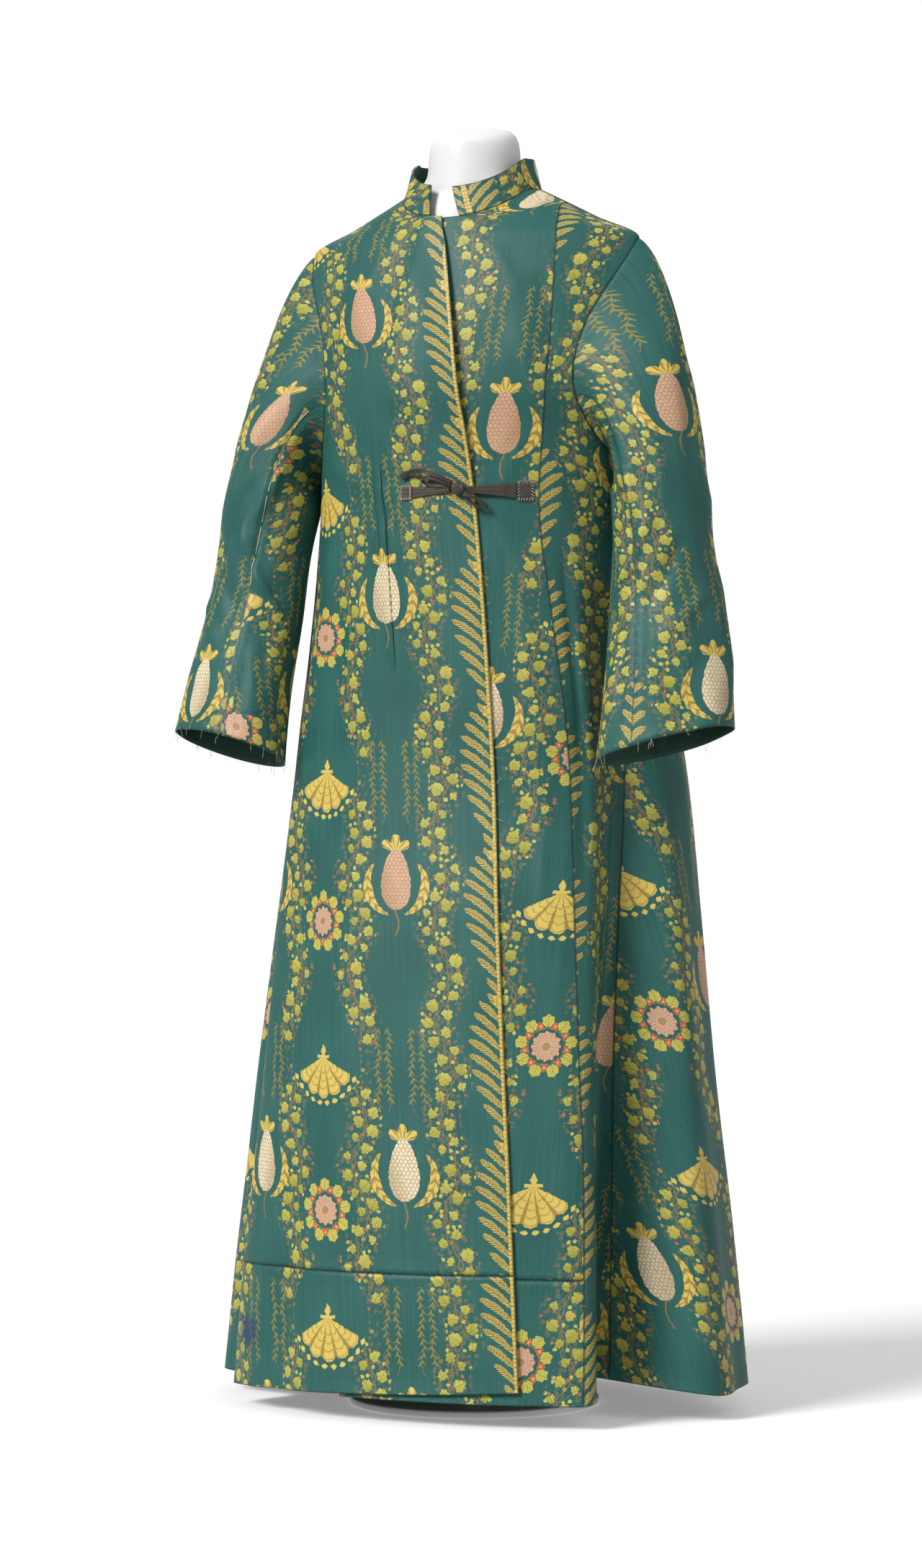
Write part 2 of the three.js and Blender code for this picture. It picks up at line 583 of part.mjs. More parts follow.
function buildCollar() {
  const line = neckline();
  const total = line.slice(1).reduce((sum, p, i) => sum + p.distanceTo(line[i]), 0);
  const centre = line.reduce((sum, p) => sum.add(p), new THREE.Vector3()).divideScalar(line.length);
  const start = line[0].x - COLLAR.rightEnd;
  const end = total - COLLAR.leftEnd + line[line.length - 1].x;
  const columns = collarColumns(line, start, end);
  const levelPoints = (level, out) => columns.map((length) => {
    const skew = level * lerp(COLLAR_SKEW.right, COLLAR_SKEW.left, (length - start) / (end - start));
    const point = alongLine(line, length + skew);
    const inwards = new THREE.Vector3(centre.x - point.x, centre.y - point.y, 0).normalize();
    point.addScaledVector(inwards, SEAM_GAP + COLLAR.lean * level + out);
    point.z += SEAM_GAP + COLLAR.height * level;
    return point;
  });
  const LEVELS = [0, 0.5, 1];
  const outer = LEVELS.map((level) => levelPoints(level, 0));
  const inner = LEVELS.map((level) => levelPoints(level, COLLAR.thick));
  return wall('collar', outer, inner, COLOURS.collar);
}

// ---- Ties -----------------------------------------------------------------------------------------
// A point over the fronts, off the outer face of the lapping right front.
function overFront(x, z, off) {
  return clothPoint(turnAt(x, z), z, LAP_LIFT + off);
}

function buildTab(tab) {
  const seat = tab.on - LAP_LIFT + TIE.seat;
  const COLUMNS = 4;
  const ROWS = 3;
  const gridAt = (off) => Array.from({ length: ROWS }, (_, r) => (
    Array.from({ length: COLUMNS }, (__, c) => {
      const x = tab.x + tab.width * (c / (COLUMNS - 1) - 0.5);
      const z = TIE.z + tab.height * (r / (ROWS - 1) - 0.5);
      return overFront(x, z, off);
    })
  ));
  return wall(tab.name, gridAt(seat + tab.thick), gridAt(seat), COLOURS.tie);
}

function buildRibbon(name, stations) {
  const middles = stations.map((s) => overFront(s.x, s.z, s.off));
  const curve = new THREE.CatmullRomCurve3(middles, false, 'centripetal');
  const count = (stations.length - 1) * RIBBON_STEPS;
  const spot = (t, column) => {
    const place = t * (stations.length - 1);
    const i = Math.min(Math.floor(place), stations.length - 2);
    return lerp(stations[i][column], stations[i + 1][column], place - i);
  };
  const rings = Array.from({ length: count + 1 }, (_, k) => {
    const t = k / count;
    const middle = curve.getPoint(t);
    const tangent = curve.getTangent(t);
    const lean = degToRad(spot(t, 'lean'));
    const across = new THREE.Vector3(Math.sin(lean), 0, Math.cos(lean));
    across.addScaledVector(tangent, -across.dot(tangent)).normalize();
    const out = new THREE.Vector3().crossVectors(tangent, across).normalize();
    const corner = (a, b) => middle.clone().addScaledVector(across, (a * spot(t, 'width')) / 2)
      .addScaledVector(out, (b * TIE.thick) / 2);
    return [corner(-1, -1), corner(1, -1), corner(1, 1), corner(-1, 1)];
  });
  return loft(name, rings, COLOURS.tie, 0.7);
}

function buildKnot() {
  const geometry = new THREE.SphereGeometry(1, 12, 8);
  geometry.scale(KNOT.across, KNOT.out, KNOT.tall);
  const middle = overFront(KNOT.x, KNOT.z, KNOT.off);
  const out = skinNormal(turnAt(KNOT.x, KNOT.z), KNOT.z);
  geometry.rotateZ(Math.atan2(out.x, -out.y));
  geometry.translate(middle.x, middle.y, middle.z);
  const material = new THREE.MeshStandardMaterial({ color: COLOURS.tie, roughness: 0.7 });
  const mesh = new THREE.Mesh(geometry, material);
  mesh.name = 'tie_knot';
  return mesh;
}

function buildTies() {
  const ribbons = Object.entries(RIBBONS).map(([name, stations]) => buildRibbon(name, stations));
  return [...TABS.map(buildTab), ...ribbons, buildKnot()];
}

// ---- Dress form -----------------------------------------------------------------------------------
// A point of the form under the cloth.
function formPoint(turn, z) {
  const TURN_STEP = 1;
  const HEIGHT_STEP = 2;
  const along = ringPoint(turn + TURN_STEP, z).sub(ringPoint(turn - TURN_STEP, z));
  const up = ringPoint(turn, z + HEIGHT_STEP).sub(ringPoint(turn, z - HEIGHT_STEP));
  const normal = along.cross(up).normalize();
  if (z === FORM_ROWS[0]) normal.setZ(0).normalize();
  const inset = lerp(formSideInset(z), formMiddleInset(z), Math.cos(degToRad(turn)) ** 2);
  return ringPoint(turn, z).addScaledVector(normal, -inset);
}

// A point of the form's neck, which rises out of the shoulders and is cut off on a slant.
function neckPoint(turn, z) {
  const angle = degToRad(turn);
  const up = clamp((z - NECK.base) / (NECK.top - NECK.base), 0, 1);
  const radius = lerp(NECK.baseRadius, NECK.topRadius, up);
  const round = new THREE.Vector3(radius * Math.sin(angle), -radius * Math.cos(angle), z);
  const point = formPoint(turn, NECK_TOP).setZ(z).lerp(round, smoothstep(z, NECK_TOP, NECK.base));
  point.z += up * NECK.slope * point.y;
  return point;
}

function buildForm() {
  const turns = Array.from({ length: FORM_SIDES }, (_, i) => (360 * i) / FORM_SIDES);
  const shoulders = [...armholeRing.slice(-2), ...SHOULDER_ROWS, ...NECK_EDGE_ROWS];
  const rings = [...FORM_ROWS, ...shoulders].map((z) => turns.map((turn) => formPoint(turn, z)));
  const neck = [...NECK_ROWS, NECK.top].map((z) => turns.map((turn) => neckPoint(turn, z)));
  return loft('dress_form', [...rings, ...neck], COLOURS.form, 0.5);
}

function disc(name, radius, sides, bottom, top, colour, metalness) {
  const geometry = new THREE.CylinderGeometry(radius, radius, top - bottom, sides);
  geometry.rotateX(Math.PI / 2);
  geometry.translate(0, 0, (top + bottom) / 2);
  const material = new THREE.MeshStandardMaterial({ color: colour, roughness: 0.35, metalness });
  const mesh = new THREE.Mesh(geometry, material);
  mesh.name = name;
  return mesh;
}

function buildStand() {
  const poleBottom = BASE.height + SEAM_GAP;
  const poleTop = FORM_ROWS[0] - SEAM_GAP;
  return [
    disc('form_pole', POLE.radius, POLE.sides, poleBottom, poleTop, COLOURS.metal, 0.6),
    disc('form_base', BASE.radius, BASE.sides, 0, BASE.height, COLOURS.form, 0),
  ];
}

const banyan = new THREE.Group();
banyan.name = 'banyan_on_form';
banyan.add(...buildPanels(), ...buildSleeves(), buildCollar(), ...buildTies(), buildForm(), ...buildStand());

export default banyan;
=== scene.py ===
import bpy
import math
import numpy as np
from mathutils import Matrix


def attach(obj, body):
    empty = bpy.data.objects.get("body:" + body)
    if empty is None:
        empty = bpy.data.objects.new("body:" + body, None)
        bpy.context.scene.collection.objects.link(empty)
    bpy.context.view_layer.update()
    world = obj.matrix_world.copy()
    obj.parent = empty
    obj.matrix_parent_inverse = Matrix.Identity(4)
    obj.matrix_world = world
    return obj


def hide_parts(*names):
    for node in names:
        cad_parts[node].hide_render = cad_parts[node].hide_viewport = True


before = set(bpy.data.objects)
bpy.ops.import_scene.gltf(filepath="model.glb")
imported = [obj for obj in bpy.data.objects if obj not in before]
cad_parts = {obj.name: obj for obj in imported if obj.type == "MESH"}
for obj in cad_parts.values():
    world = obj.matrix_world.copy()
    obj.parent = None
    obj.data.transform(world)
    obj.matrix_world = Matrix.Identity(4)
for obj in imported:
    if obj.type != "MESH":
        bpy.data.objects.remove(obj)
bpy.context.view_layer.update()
bpy.ops.object.select_all(action="DESELECT")


# ---- Camera ---------------------------------------------------------------------------------------
# A long lens at waist height, five metres off, turned a little round towards the wearer's left.
CAMERA_TURN = math.radians(25)
CAMERA_DISTANCE = 5.0
CAMERA_HEIGHT = 0.694
CAMERA_LENS = 102.1
CAMERA_SENSOR = 36
CAMERA_SHIFT = -0.0087
bpy.ops.object.camera_add(
    location=(
        CAMERA_DISTANCE * math.sin(CAMERA_TURN),
        -CAMERA_DISTANCE * math.cos(CAMERA_TURN),
        CAMERA_HEIGHT,
    ),
    rotation=(math.radians(90), 0, CAMERA_TURN),
)
camera = bpy.context.object
camera.data.lens = CAMERA_LENS
camera.data.sensor_width = CAMERA_SENSOR
camera.data.shift_x = CAMERA_SHIFT
bpy.context.scene.view_settings.view_transform = "Standard"
bpy.context.scene.camera = camera


# ---- Right front ----------------------------------------------------------------------------------
# The right front of the robe, one length of figured silk from the shoulder to the seam of its hem
# band. It laps over the left front and flares from the waist, where a tuck stands up. The shape of the
# whole robe is worked out here, in millimetres: a ring for each height, pressed in by the skirt's folds.
SEAM_GAP = 0.3
LAP_LIFT = 3.4
SILK_THICK = 1.1
CELL = 5.5
HEM = 35
HEM_BAND_TOP = 163
HEM_BLEND = 200
FOLD_GROWTH = 1.2
RIPPLES_TO = 1200
CREASES_TO, CREASES_GONE = 1290, 1330
DEGREE_SHARE = 0.0175
SHOULDER_TOP = 1360
NECK_PIT = 1323
NECK_TOP = 1357
NECK_HALF = 75
GAPE_REACH = 45
ARMHOLE_BOTTOM, ARMHOLE_TOP = 1040, 1298
FRONT_NOTCH, BACK_NOTCH = 37, 28
ARMHOLE_ROUND, ARMHOLE_SPACING = 1.1, 1.4
SLOPE_START = 1275

# height, half width, reach in front, reach behind, set back of the widest point, squareness
RINGS = np.array([
    (35, 310, 204, 258, 27, 2.2),
    (150, 298, 195, 249, 26, 2.2),
    (344, 274, 178, 235, 28, 2.2),
    (538, 252, 154, 220, 34, 2.2),
    (700, 233, 129, 203, 40, 2.2),
    (765, 223, 124, 189, 36, 2.2),
    (850, 208, 120, 169, 28, 2.15),
    (913, 198, 117, 156, 22, 2.1),
    (990, 190, 114, 143, 15, 2.1),
    (1040, 186, 114, 138, 12, 2.15),
    (1089, 183, 116, 132, 10, 2.2),
    (1120, 184, 118, 126, 6, 2.2),
    (1200, 196, 108, 118, 2, 2),
    (1262, 203, 93, 104, 0, 1.8),
    (1298, 200, 83, 92, 0, 1.6),
    (1323, 150, 75, 84, 0, 1.5),
    (1342, 112, 69, 78, 0, 1.5),
    (1360, 75, 60, 71, 0, 1.6),
])
# turn at the fold's top, turn at the hem, half its spread, depth inwards at the hem, top height
FOLDS = (
    (36, 38, 8, -8, 1000),
    (66, 57, 18, 120, 1010),
    (82, 79, 11, -10, 900),
    (112, 112, 17, 38, 800),
    (152, 150, 14, 30, 700),
    (180, 180, 13, -14, 760),
    (204, 206, 15, 34, 750),
    (238, 240, 13, 26, 650),
    (294, 297, 16, 60, 900),
    (330, 330, 8, 7, 700),
)
# height, right front's edge, left front's edge, seam of the side front: all across from the middle
EDGES = np.array([
    (35, 139, -70, 200),
    (250, 123, -61, 193),
    (420, 108, -53, 181),
    (610, 90, -44, 165),
    (770, 76, -36, 150),
    (880, 66, -30, 133),
    (1007, 53, -25, 119),
    (1110, 40, -19, 126),
    (1200, 26, -13, 130),
    (1290, 6, -9, 126),
    (1323, -3, -9, 118),
    (1340, -3, -9, 112),
])
# creases and drags of the body's cloth: turn and height of both ends, half width, height outwards
CREASES = (
    (-17.5, 1085, -13.5, 960, 5, -3.2),
    (-13.5, 970, -8.5, 845, 4.5, -2.2),
    (-19, 1075, -15.5, 950, 6, 1.6),
    (-12, 1012, -34, 1030, 6, 1.8),
    (-12, 1006, -40, 990, 6, 1.4),
    (-30, 1020, -52, 1060, 9, 1.6),
    (-14, 1040, -26, 1120, 9, 1.5),
    (18, 1000, 26, 930, 6, -2.0),
    (24, 1020, 33, 1075, 8, 1.6),
    (30, 1012, 45, 1000, 6, 1.3),
    (40, 1100, 28, 1205, 13, 2.2),
    (46, 1130, 36, 1250, 12, -2.4),
    (-44, 1095, -33, 1210, 13, 2.4),
    (-50, 1120, -40, 1245, 10, -2.4),
    (-56, 1080, -44, 1120, 8, 2.2),
    (-46, 960, -54, 520, 20, 3.6),
    (-33, 940, -36, 300, 17, -3.0),
    (-22, 900, -23, 420, 22, 2.4),
    (-32, 560, -32.5, 60, 8, 2.4),
    (-5, 880, -3, 300, 20, -2.0),
    (30, 930, 32, 520, 12, 2.6),
    (47, 960, 44, 560, 9, -3.2),
    (92, 980, 90, 520, 14, 3.0),
    (100, 990, 100, 700, 9, -2.6),
    (-66, 980, -70, 600, 14, -3.2),
    (128, 1000, 130, 620, 16, 3.4),
    (165, 1010, 166, 640, 16, 3.2),
    (192, 1010, 191, 640, 16, 3.0),
    (225, 1000, 222, 620, 16, 3.2),
    (150, 1180, 150, 1040, 14, -2.2),
    (209, 1180, 210, 1040, 14, -2.2),
    (130, 1120, 118, 1240, 12, 2.2),
    (230, 1120, 242, 1240, 12, 2.2),
    (180, 1300, 160, 1180, 18, 1.6),
    (180, 1290, 204, 1180, 18, 1.4),
    (60, 760, 58, 420, 12, 5.0),
    (20, 1290, 30, 1230, 10, 1.4),
    (-24, 1300, -32, 1235, 10, 1.6),
)


def curve_through(at, value):
    """A smooth curve through a table's rows, which never overshoots them."""
    at, value = np.asarray(at, float), np.asarray(value, float)
    rise = np.diff(value) / np.diff(at)
    same_way = rise[:-1] * rise[1:] > 0
    total = np.where(same_way, rise[:-1] + rise[1:], 1)
    middle = np.where(same_way, 2 * rise[:-1] * rise[1:] / total, 0)
    slope = np.concatenate(([rise[0]], middle, [rise[-1]]))

    def follow(wanted):
        x = np.clip(wanted, at[0], at[-1])
        i = np.searchsorted(at[1:-1], x)
        width = at[i + 1] - at[i]
        t = (x - at[i]) / width
        bend = t * t * (3 - 2 * t)
        leave = t * (1 - t) ** 2 * width * slope[i]
        arrive = t * t * (t - 1) * width * slope[i + 1]
        return value[i] + (value[i + 1] - value[i]) * bend + leave + arrive

    return follow


half_width, front_reach, back_reach, side_depth, squareness = (
    curve_through(RINGS[:, 0], RINGS[:, column]) for column in range(1, 6)
)
right_edge, left_edge, side_front_seam = (
    curve_through(EDGES[:, 0], EDGES[:, column]) for column in range(1, 4)
)
side_seam = curve_through((35, 730, 1015, 1040), (62, 68, 88, 90))
# how far before the left front's edge the lap starts to lift and is lifted, and how far it gapes
LAP_HEIGHTS = (35, 1007, 1050, 1150, 1230, 1323)
lap_from = curve_through(LAP_HEIGHTS, (62, 60, 58, 54, 46, 30))
lap_to = curve_through(LAP_HEIGHTS, (32, 30, 30, 28, 24, 14))
lap_gape = curve_through(LAP_HEIGHTS, (0, 0, 2, 6, 5, 0))
# heights of the hem by the turn, round the whole robe and along the right front
hem_round = curve_through((-40, 36, 57, 79, 112, 180, 240, 298), (27, 26, 43, 28, 34, 35, 31, 22))
right_hem = curve_through((-62, -20, 25), (22, 28, 40))


def smooth(x, low, high):
    t = np.clip((x - low) / (high - low), 0, 1)
    return t * t * (3 - 2 * t)


def hem_height(turn):
    return hem_round(np.where(turn < -40, turn + 360, turn))


def ring_point(turn, z):
    angle = np.radians(turn)
    power = 2 / squareness(z)
    x = half_width(z) * np.sign(np.sin(angle)) * np.abs(np.sin(angle)) ** power
    side = side_depth(z)
    reach = np.where(np.cos(angle) > 0, -front_reach(z) - side, back_reach(z) - side)
    return x, side + reach * np.abs(np.cos(angle)) ** power


def turn_at(x, z):
    share = np.clip(np.abs(x) / half_width(z), 0, 1)
    return np.sign(x) * np.degrees(np.arcsin(share ** (squareness(z) / 2)))


def fold_depth(turn, z):
    depth = 0
    for upper, lower, spread, most, top in FOLDS:
        down = np.clip((top - z) / (top - HEM), 0, 1)
        aside = np.abs((turn - upper - (lower - upper) * down + 540) % 360 - 180)
        wave = (1 + np.cos(np.pi * np.minimum(aside, spread) / spread)) / 2
        depth = depth + most * down ** FOLD_GROWTH * wave
    return depth


def crease_height(turn, z, table, degree):
    """Soft troughs and ridges, each along a line from one end to the other. degree: mm per degree."""
    height = 0
    for turn_a, z_a, turn_b, z_b, width, most in table:
        across = ((turn - turn_a + 540) % 360 - 180) * degree
        run, rise = (turn_b - turn_a) * degree, z_b - z_a
        t = (across * run + (z - z_a) * rise) / (run * run + rise * rise)
        near = np.clip(t, 0, 1)
        away = np.hypot(across - near * run, z - z_a - near * rise)
        wander = 1 + 0.35 * np.sin(7 * t + turn_a) * np.clip(t * (1 - t) * 4, 0, 1)
        fade = np.clip(np.minimum(t, 1 - t) * 4 + 0.25, 0, 1)
        height = height + most * fade * np.exp(-((away / (width * wander)) ** 2))
    return height


def ripple(turn, z):
    """The slight unevenness of silk that has hung for long."""
    angle = np.radians(turn)
    slow = np.sin(3 * angle + z / 130) + np.sin(5 * angle - z / 83 + 1) * 0.7
    quick = np.sin(11 * angle + z / 41 + 2 * np.sin(z / 160)) + np.sin(17 * angle - z / 57)
    return 0.5 * slow + 0.28 * quick * smooth(z, 60, 300)


def skin(turn, z, hem=hem_height):
    x, y = ring_point(turn, z)
    side = side_depth(z)
    far = np.hypot(x, y - side)
    inwards = (fold_depth(turn, z) - ripple(turn, z) * smooth(-z, -NECK_PIT, -RIPPLES_TO)) / far
    low = 1 - smooth(z, HEM, HEM + HEM_BLEND)
    return np.stack([x - x * inwards, y - (y - side) * inwards, z + low * (hem(turn) - HEM)], -1)


def unit(vectors):
    return vectors / np.linalg.norm(vectors, axis=-1, keepdims=True)


def skin_normal(turn, z, hem=hem_height):
    along = skin(turn + 0.6, z, hem) - skin(turn - 0.6, z, hem)
    up = skin(turn, z + 2, hem) - skin(turn, z - 2, hem)
    return unit(np.cross(along, up))


def cloth_point(turn, z, out=0, hem=hem_height):
    quiet = smooth(-z, -CREASES_GONE, -CREASES_TO)
    creases = crease_height(turn, z, CREASES, half_width(z) * DEGREE_SHARE) * quiet
    return skin(turn, z, hem) + skin_normal(turn, z, hem) * (out + creases)[..., None]


def lap_lift(x, z):
    start, full = left_edge(z) - lap_from(z), left_edge(z) - lap_to(z)
    gape = lap_gape(z) * smooth(x, right_edge(z) - GAPE_REACH, right_edge(z))
    return LAP_LIFT * smooth(x, start, full) + gape


def neckline_half(z):
    up = np.clip((z - NECK_PIT) / (SHOULDER_TOP - NECK_PIT), 0, 1)
    return NECK_HALF * np.sqrt(1 - (1 - up) ** 2)


def armhole_height(round_):
    middle, reach = (ARMHOLE_TOP + ARMHOLE_BOTTOM) / 2, (ARMHOLE_TOP - ARMHOLE_BOTTOM) / 2
    rise = np.cos(np.radians(round_))
    return middle + reach * np.sign(rise) * np.abs(rise) ** ARMHOLE_SPACING


def side_end(z, notch):
    up = np.clip((z - ARMHOLE_BOTTOM) / (ARMHOLE_TOP - ARMHOLE_BOTTOM), 0, 1)
    across = half_width(z) - notch * np.abs(np.sin(np.pi * up)) ** ARMHOLE_ROUND
    return np.where(z <= ARMHOLE_BOTTOM, side_seam(z), np.where(z < ARMHOLE_TOP, turn_at(across, z), 90))


def right_front_end(z):
    return turn_at(np.where(z > NECK_PIT, -neckline_half(z), right_edge(z)), z)


def rows_between(low, high, step):
    return list(np.linspace(low, high, max(2, int(round((high - low) / step)) + 1)))


armhole_rows = list(armhole_height(np.linspace(180, 0, 57)))
neck_steps = np.sin(np.radians(np.linspace(0, 85, 15)))
neck_rows = list(NECK_PIT + (SHOULDER_TOP - NECK_PIT) * (1 - np.sqrt(1 - neck_steps ** 2)))
neck_rows = [z for z in neck_rows if z < NECK_TOP - 1] + [NECK_TOP]
body_rows = (
    rows_between(HEM_BAND_TOP, ARMHOLE_BOTTOM, CELL)[:-1] + armhole_rows
    + rows_between(ARMHOLE_TOP, NECK_PIT, 1.6)[1:-1] + neck_rows
)
band_rows = [HEM, HEM + 1.2, HEM + 3, HEM + 6, HEM + 10] + rows_between(HEM + 15, HEM_BAND_TOP, 5.3)


def shares(width, cell):
    """Columns across a panel, closer together at its two edges."""
    close = np.array([0, 0.8, 2, 4, 7]) / width
    middle = np.linspace(11 / width, 1 - 11 / width, int(width / cell))
    return np.concatenate((close, middle, 1 - close[::-1]))


def panel_points(rows, start, end, columns, lift=None, hem=hem_height, trim=(0, 0)):
    rows = np.array(rows, float)
    turn = start(rows)[:, None] + (end(rows) - start(rows))[:, None] * columns
    rows[0] += trim[0]
    rows[-1] -= trim[1]
    z = np.broadcast_to(rows[:, None], turn.shape)
    out = lift(ring_point(turn, z)[0], z) if lift else np.zeros_like(z)
    points = cloth_point(turn, z, out, hem)
    for edge, inside in ((0, 1), (-1, -2)):
        points[:, edge] += unit(points[:, inside] - points[:, edge]) * SEAM_GAP / 2
    return points


def run_lengths(points, axis):
    steps = np.linalg.norm(np.diff(points, axis=axis), axis=-1)
    return np.concatenate((np.zeros_like(np.take(steps, [0], axis)), np.cumsum(steps, axis)), axis)


def panel_uv(points, grain, across, up, slope=None):
    """Millimetres of flat cloth: across from the grain line's column and up along it.

    From the row where the shoulder's slope starts, heights run up each column and widths keep to x."""
    u = run_lengths(points, 1)
    u = u - u[:, grain:grain + 1 or None] + across
    rise = run_lengths(points, 0)
    v = np.broadcast_to(rise[:, grain:grain + 1 or None], u.shape) + up
    if slope:
        v[slope:] = v[slope] + rise[slope:] - rise[slope]
        u[slope:] += points[slope:, grain, :1] - points[slope, grain, 0]
    return np.stack([u, v], -1)


def slope_row(rows):
    return int(np.searchsorted(rows, SLOPE_START))


def edge_distances(points):
    """Millimetres to the nearest side edge, and to the nearer of the top and bottom edges."""
    u, v = run_lengths(points, 1), run_lengths(points, 0)
    return np.stack([np.minimum(u, u[:, -1:] - u), np.minimum(v, v[-1:] - v)], -1)


def new_piece(name, points, faces):
    mesh = bpy.data.meshes.new(name)
    mesh.from_pydata((np.array(points) / 1000).tolist(), [], faces)
    mesh.update()
    piece = bpy.data.objects.new(name, mesh)
    bpy.context.collection.objects.link(piece)
    return piece


def cloth_mesh(name, points, uv, rim, around=False):
    """A sheet through rows of points, with its places on the cloth and its distances to the edges."""
    rows, columns = points.shape[:2]
    last = columns if around else columns - 1
    r, c = np.meshgrid(np.arange(rows - 1), np.arange(last), indexing="ij")
    after = (c + 1) % columns
    low, high = r * columns, (r + 1) * columns
    faces = np.stack([low + c, low + after, high + after, high + c], -1).reshape(-1, 4)
    piece = new_piece(name, points.reshape(-1, 3), faces.tolist())
    column = np.stack([c, c + 1, c + 1, c], -1).reshape(-1, 4)
    row = np.stack([r, r, r + 1, r + 1], -1).reshape(-1, 4)
    for layer, values in (("cloth", uv), ("rim", rim)):
        flat = values[row, column] / 1000
        piece.data.uv_layers.new(name=layer).data.foreach_set("uv", flat.reshape(-1))
    piece.data.shade_smooth()
    return piece


def thicken(piece, thick, inner_slot=1):
    solid = piece.modifiers.new("thickness", "SOLIDIFY")
    solid.thickness = thick / 1000
    solid.offset = -1
    solid.material_offset = inner_slot


class Value:
    """A shader socket that takes part in sums."""

    def __init__(self, tree, socket=None):
        self.tree, self.socket = tree, socket

    def node(self, kind, settings, sockets, output=0):
        made = self.tree.nodes.new("ShaderNode" + kind)
        for name, setting in settings.items():
            setattr(made, name, setting)
        for key, value in sockets.items():
            if isinstance(value, Value):
                self.tree.links.new(value.socket, made.inputs[key])
            else:
                made.inputs[key].default_value = value
        return Value(self.tree, made.outputs[output])

    def maths(self, operation, *others):
        return self.node("Math", {"operation": operation}, dict(enumerate((self, *others))))

    def __add__(self, other):
        return self.maths("ADD", other)

    def __sub__(self, other):
        return self.maths("SUBTRACT", other)

    def __rsub__(self, other):
        return self.node("Math", {"operation": "SUBTRACT"}, {0: other, 1: self})

    def __mul__(self, other):
        return self.maths("MULTIPLY", other)

    def __truediv__(self, other):
        return self.maths("DIVIDE", other)

    def __mod__(self, other):
        return self.maths("FLOORED_MODULO", other)

    def __pow__(self, other):
        return self.maths("POWER", other)

    def __abs__(self):
        return self.maths("ABSOLUTE")

    __radd__, __rmul__ = __add__, __mul__

    def sin(self):
        return self.maths("SINE")

    def cos(self):
        return self.maths("COSINE")

    def both(self, other):
        """The smaller of two, which for masks is where both hold."""
        return self.maths("MINIMUM", other)

    def either(self, other):
        """The larger of two, which for masks is where either holds."""
        return self.maths("MAXIMUM", other)

    def below(self, edge, soft=0.25):
        """1 where the value is under the edge, 0 over it."""
        sockets = {0: self, 1: edge + soft, 2: edge - soft, 3: 0.0, 4: 1.0}
        return self.node("MapRange", {"interpolation_type": "LINEAR"}, sockets)

    def above(self, edge, soft=0.25):
        """1 where the value is over the edge, 0 under it."""
        return self.below(edge, -soft)

    def point(self, other):
        """The point at these two places."""
        return self.node("CombineXYZ", {}, {0: self, 1: other})

    def far(self, other):
        """How far that point is from the origin."""
        return self.node("VectorMath", {"operation": "LENGTH"}, {0: self.point(other)}, 1)

    def angle(self, other):
        """The turn of that point, from the second axis to the first."""
        return self.maths("ARCTAN2", other)

    def parts(self):
        """The three numbers of a vector or a colour."""
        split = self.node("SeparateXYZ", {}, {0: self}).socket.node
        return [Value(self.tree, output) for output in split.outputs]

    def map(self, name):
        """A UV map of the piece."""
        return self.node("UVMap", {"uv_map": name}, {})

    def place(self):
        """Where the surface is, in metres."""
        return self.node("TexCoord", {}, {}, "Object")

    def noise(self, scale, detail, dimensions="3D", output=0):
        """Soft random values at this place."""
        sockets = {"Vector": self, "Scale": scale, "Detail": detail}
        return self.node("TexNoise", {"noise_dimensions": dimensions}, sockets, output)

    def bump(self, strength, distance):
        """The slopes of a surface that this value raises."""
        return self.node("Bump", {}, {"Strength": strength, "Distance": distance, "Height": self})

    def between(self, low, high):
        """The first colour where this value is 0, the second where it is 1."""
        return self.node("Mix", {"data_type": "RGBA"}, {0: self, 6: low, 7: high}, 2)

    def over(self, colour, mask):
        """This colour, with another laid over it where the mask is 1."""
        return mask.between(self, colour)


def new_material(name):
    material = bpy.data.materials.new(name)
    material.use_nodes = True
    material.node_tree.nodes.clear()
    return material, Value(material.node_tree)


def finish_material(start, sockets):
    shader = start.node("BsdfPrincipled", {}, sockets)
    output = start.tree.nodes.new("ShaderNodeOutputMaterial")
    start.tree.links.new(shader.socket, output.inputs["Surface"])


# The silk's colours, ground first.
TEAL = (0.013, 0.084, 0.073, 1)
TEAL_PALE = (0.026, 0.124, 0.105, 1)
# Painted shade, laid in a narrow band along the seams and free edges of the silk.
TEAL_PAINTED_SHADE = (0.006, 0.035, 0.030, 1)
LEAF_GREEN = (0.30, 0.29, 0.035, 1)
LEAF_YELLOW = (0.58, 0.51, 0.095, 1)
LEAF_VEIN = (0.11, 0.13, 0.03, 1)
GOLD = (0.62, 0.47, 0.105, 1)
GOLD_DARK = (0.25, 0.15, 0.03, 1)
BROWN = (0.27, 0.165, 0.055, 1)
OLIVE = (0.25, 0.21, 0.04, 1)
CREAM = (0.74, 0.64, 0.44, 1)
PINK = (0.60, 0.36, 0.24, 1)
CORAL = (0.52, 0.13, 0.055, 1)
STAIN_BLUE = (0.010, 0.026, 0.105, 1)
REVERSE_DARK = (0.012, 0.062, 0.058, 1)
REVERSE_PALE = (0.05, 0.10, 0.06, 1)
# The figure repeats up the cloth and is mirrored across it. Its parts' places are in millimetres.
REPEAT = 318
MIRROR = 222
SHELL_UP = 252
WREATH_UP = 84
WREATH_LEAVES = 9
VINE_ACROSS = 119
VINE_ASIDE = 54
VINE_SWING = 9
VINE_LEAVES = 16
FRUIT_UP = 132
SPRAY_LENGTH = 159
LAUREL_LEAVES = 20
CURL_CELL = 6.8
FULL_TURN = 2 * np.pi
VINE_WAVE = FULL_TURN / 106
# The stain's place on the piece is in metres and its radius in millimetres.
STAIN_ACROSS, STAIN_UP, STAIN_RADIUS = -0.212, 0.085, 19

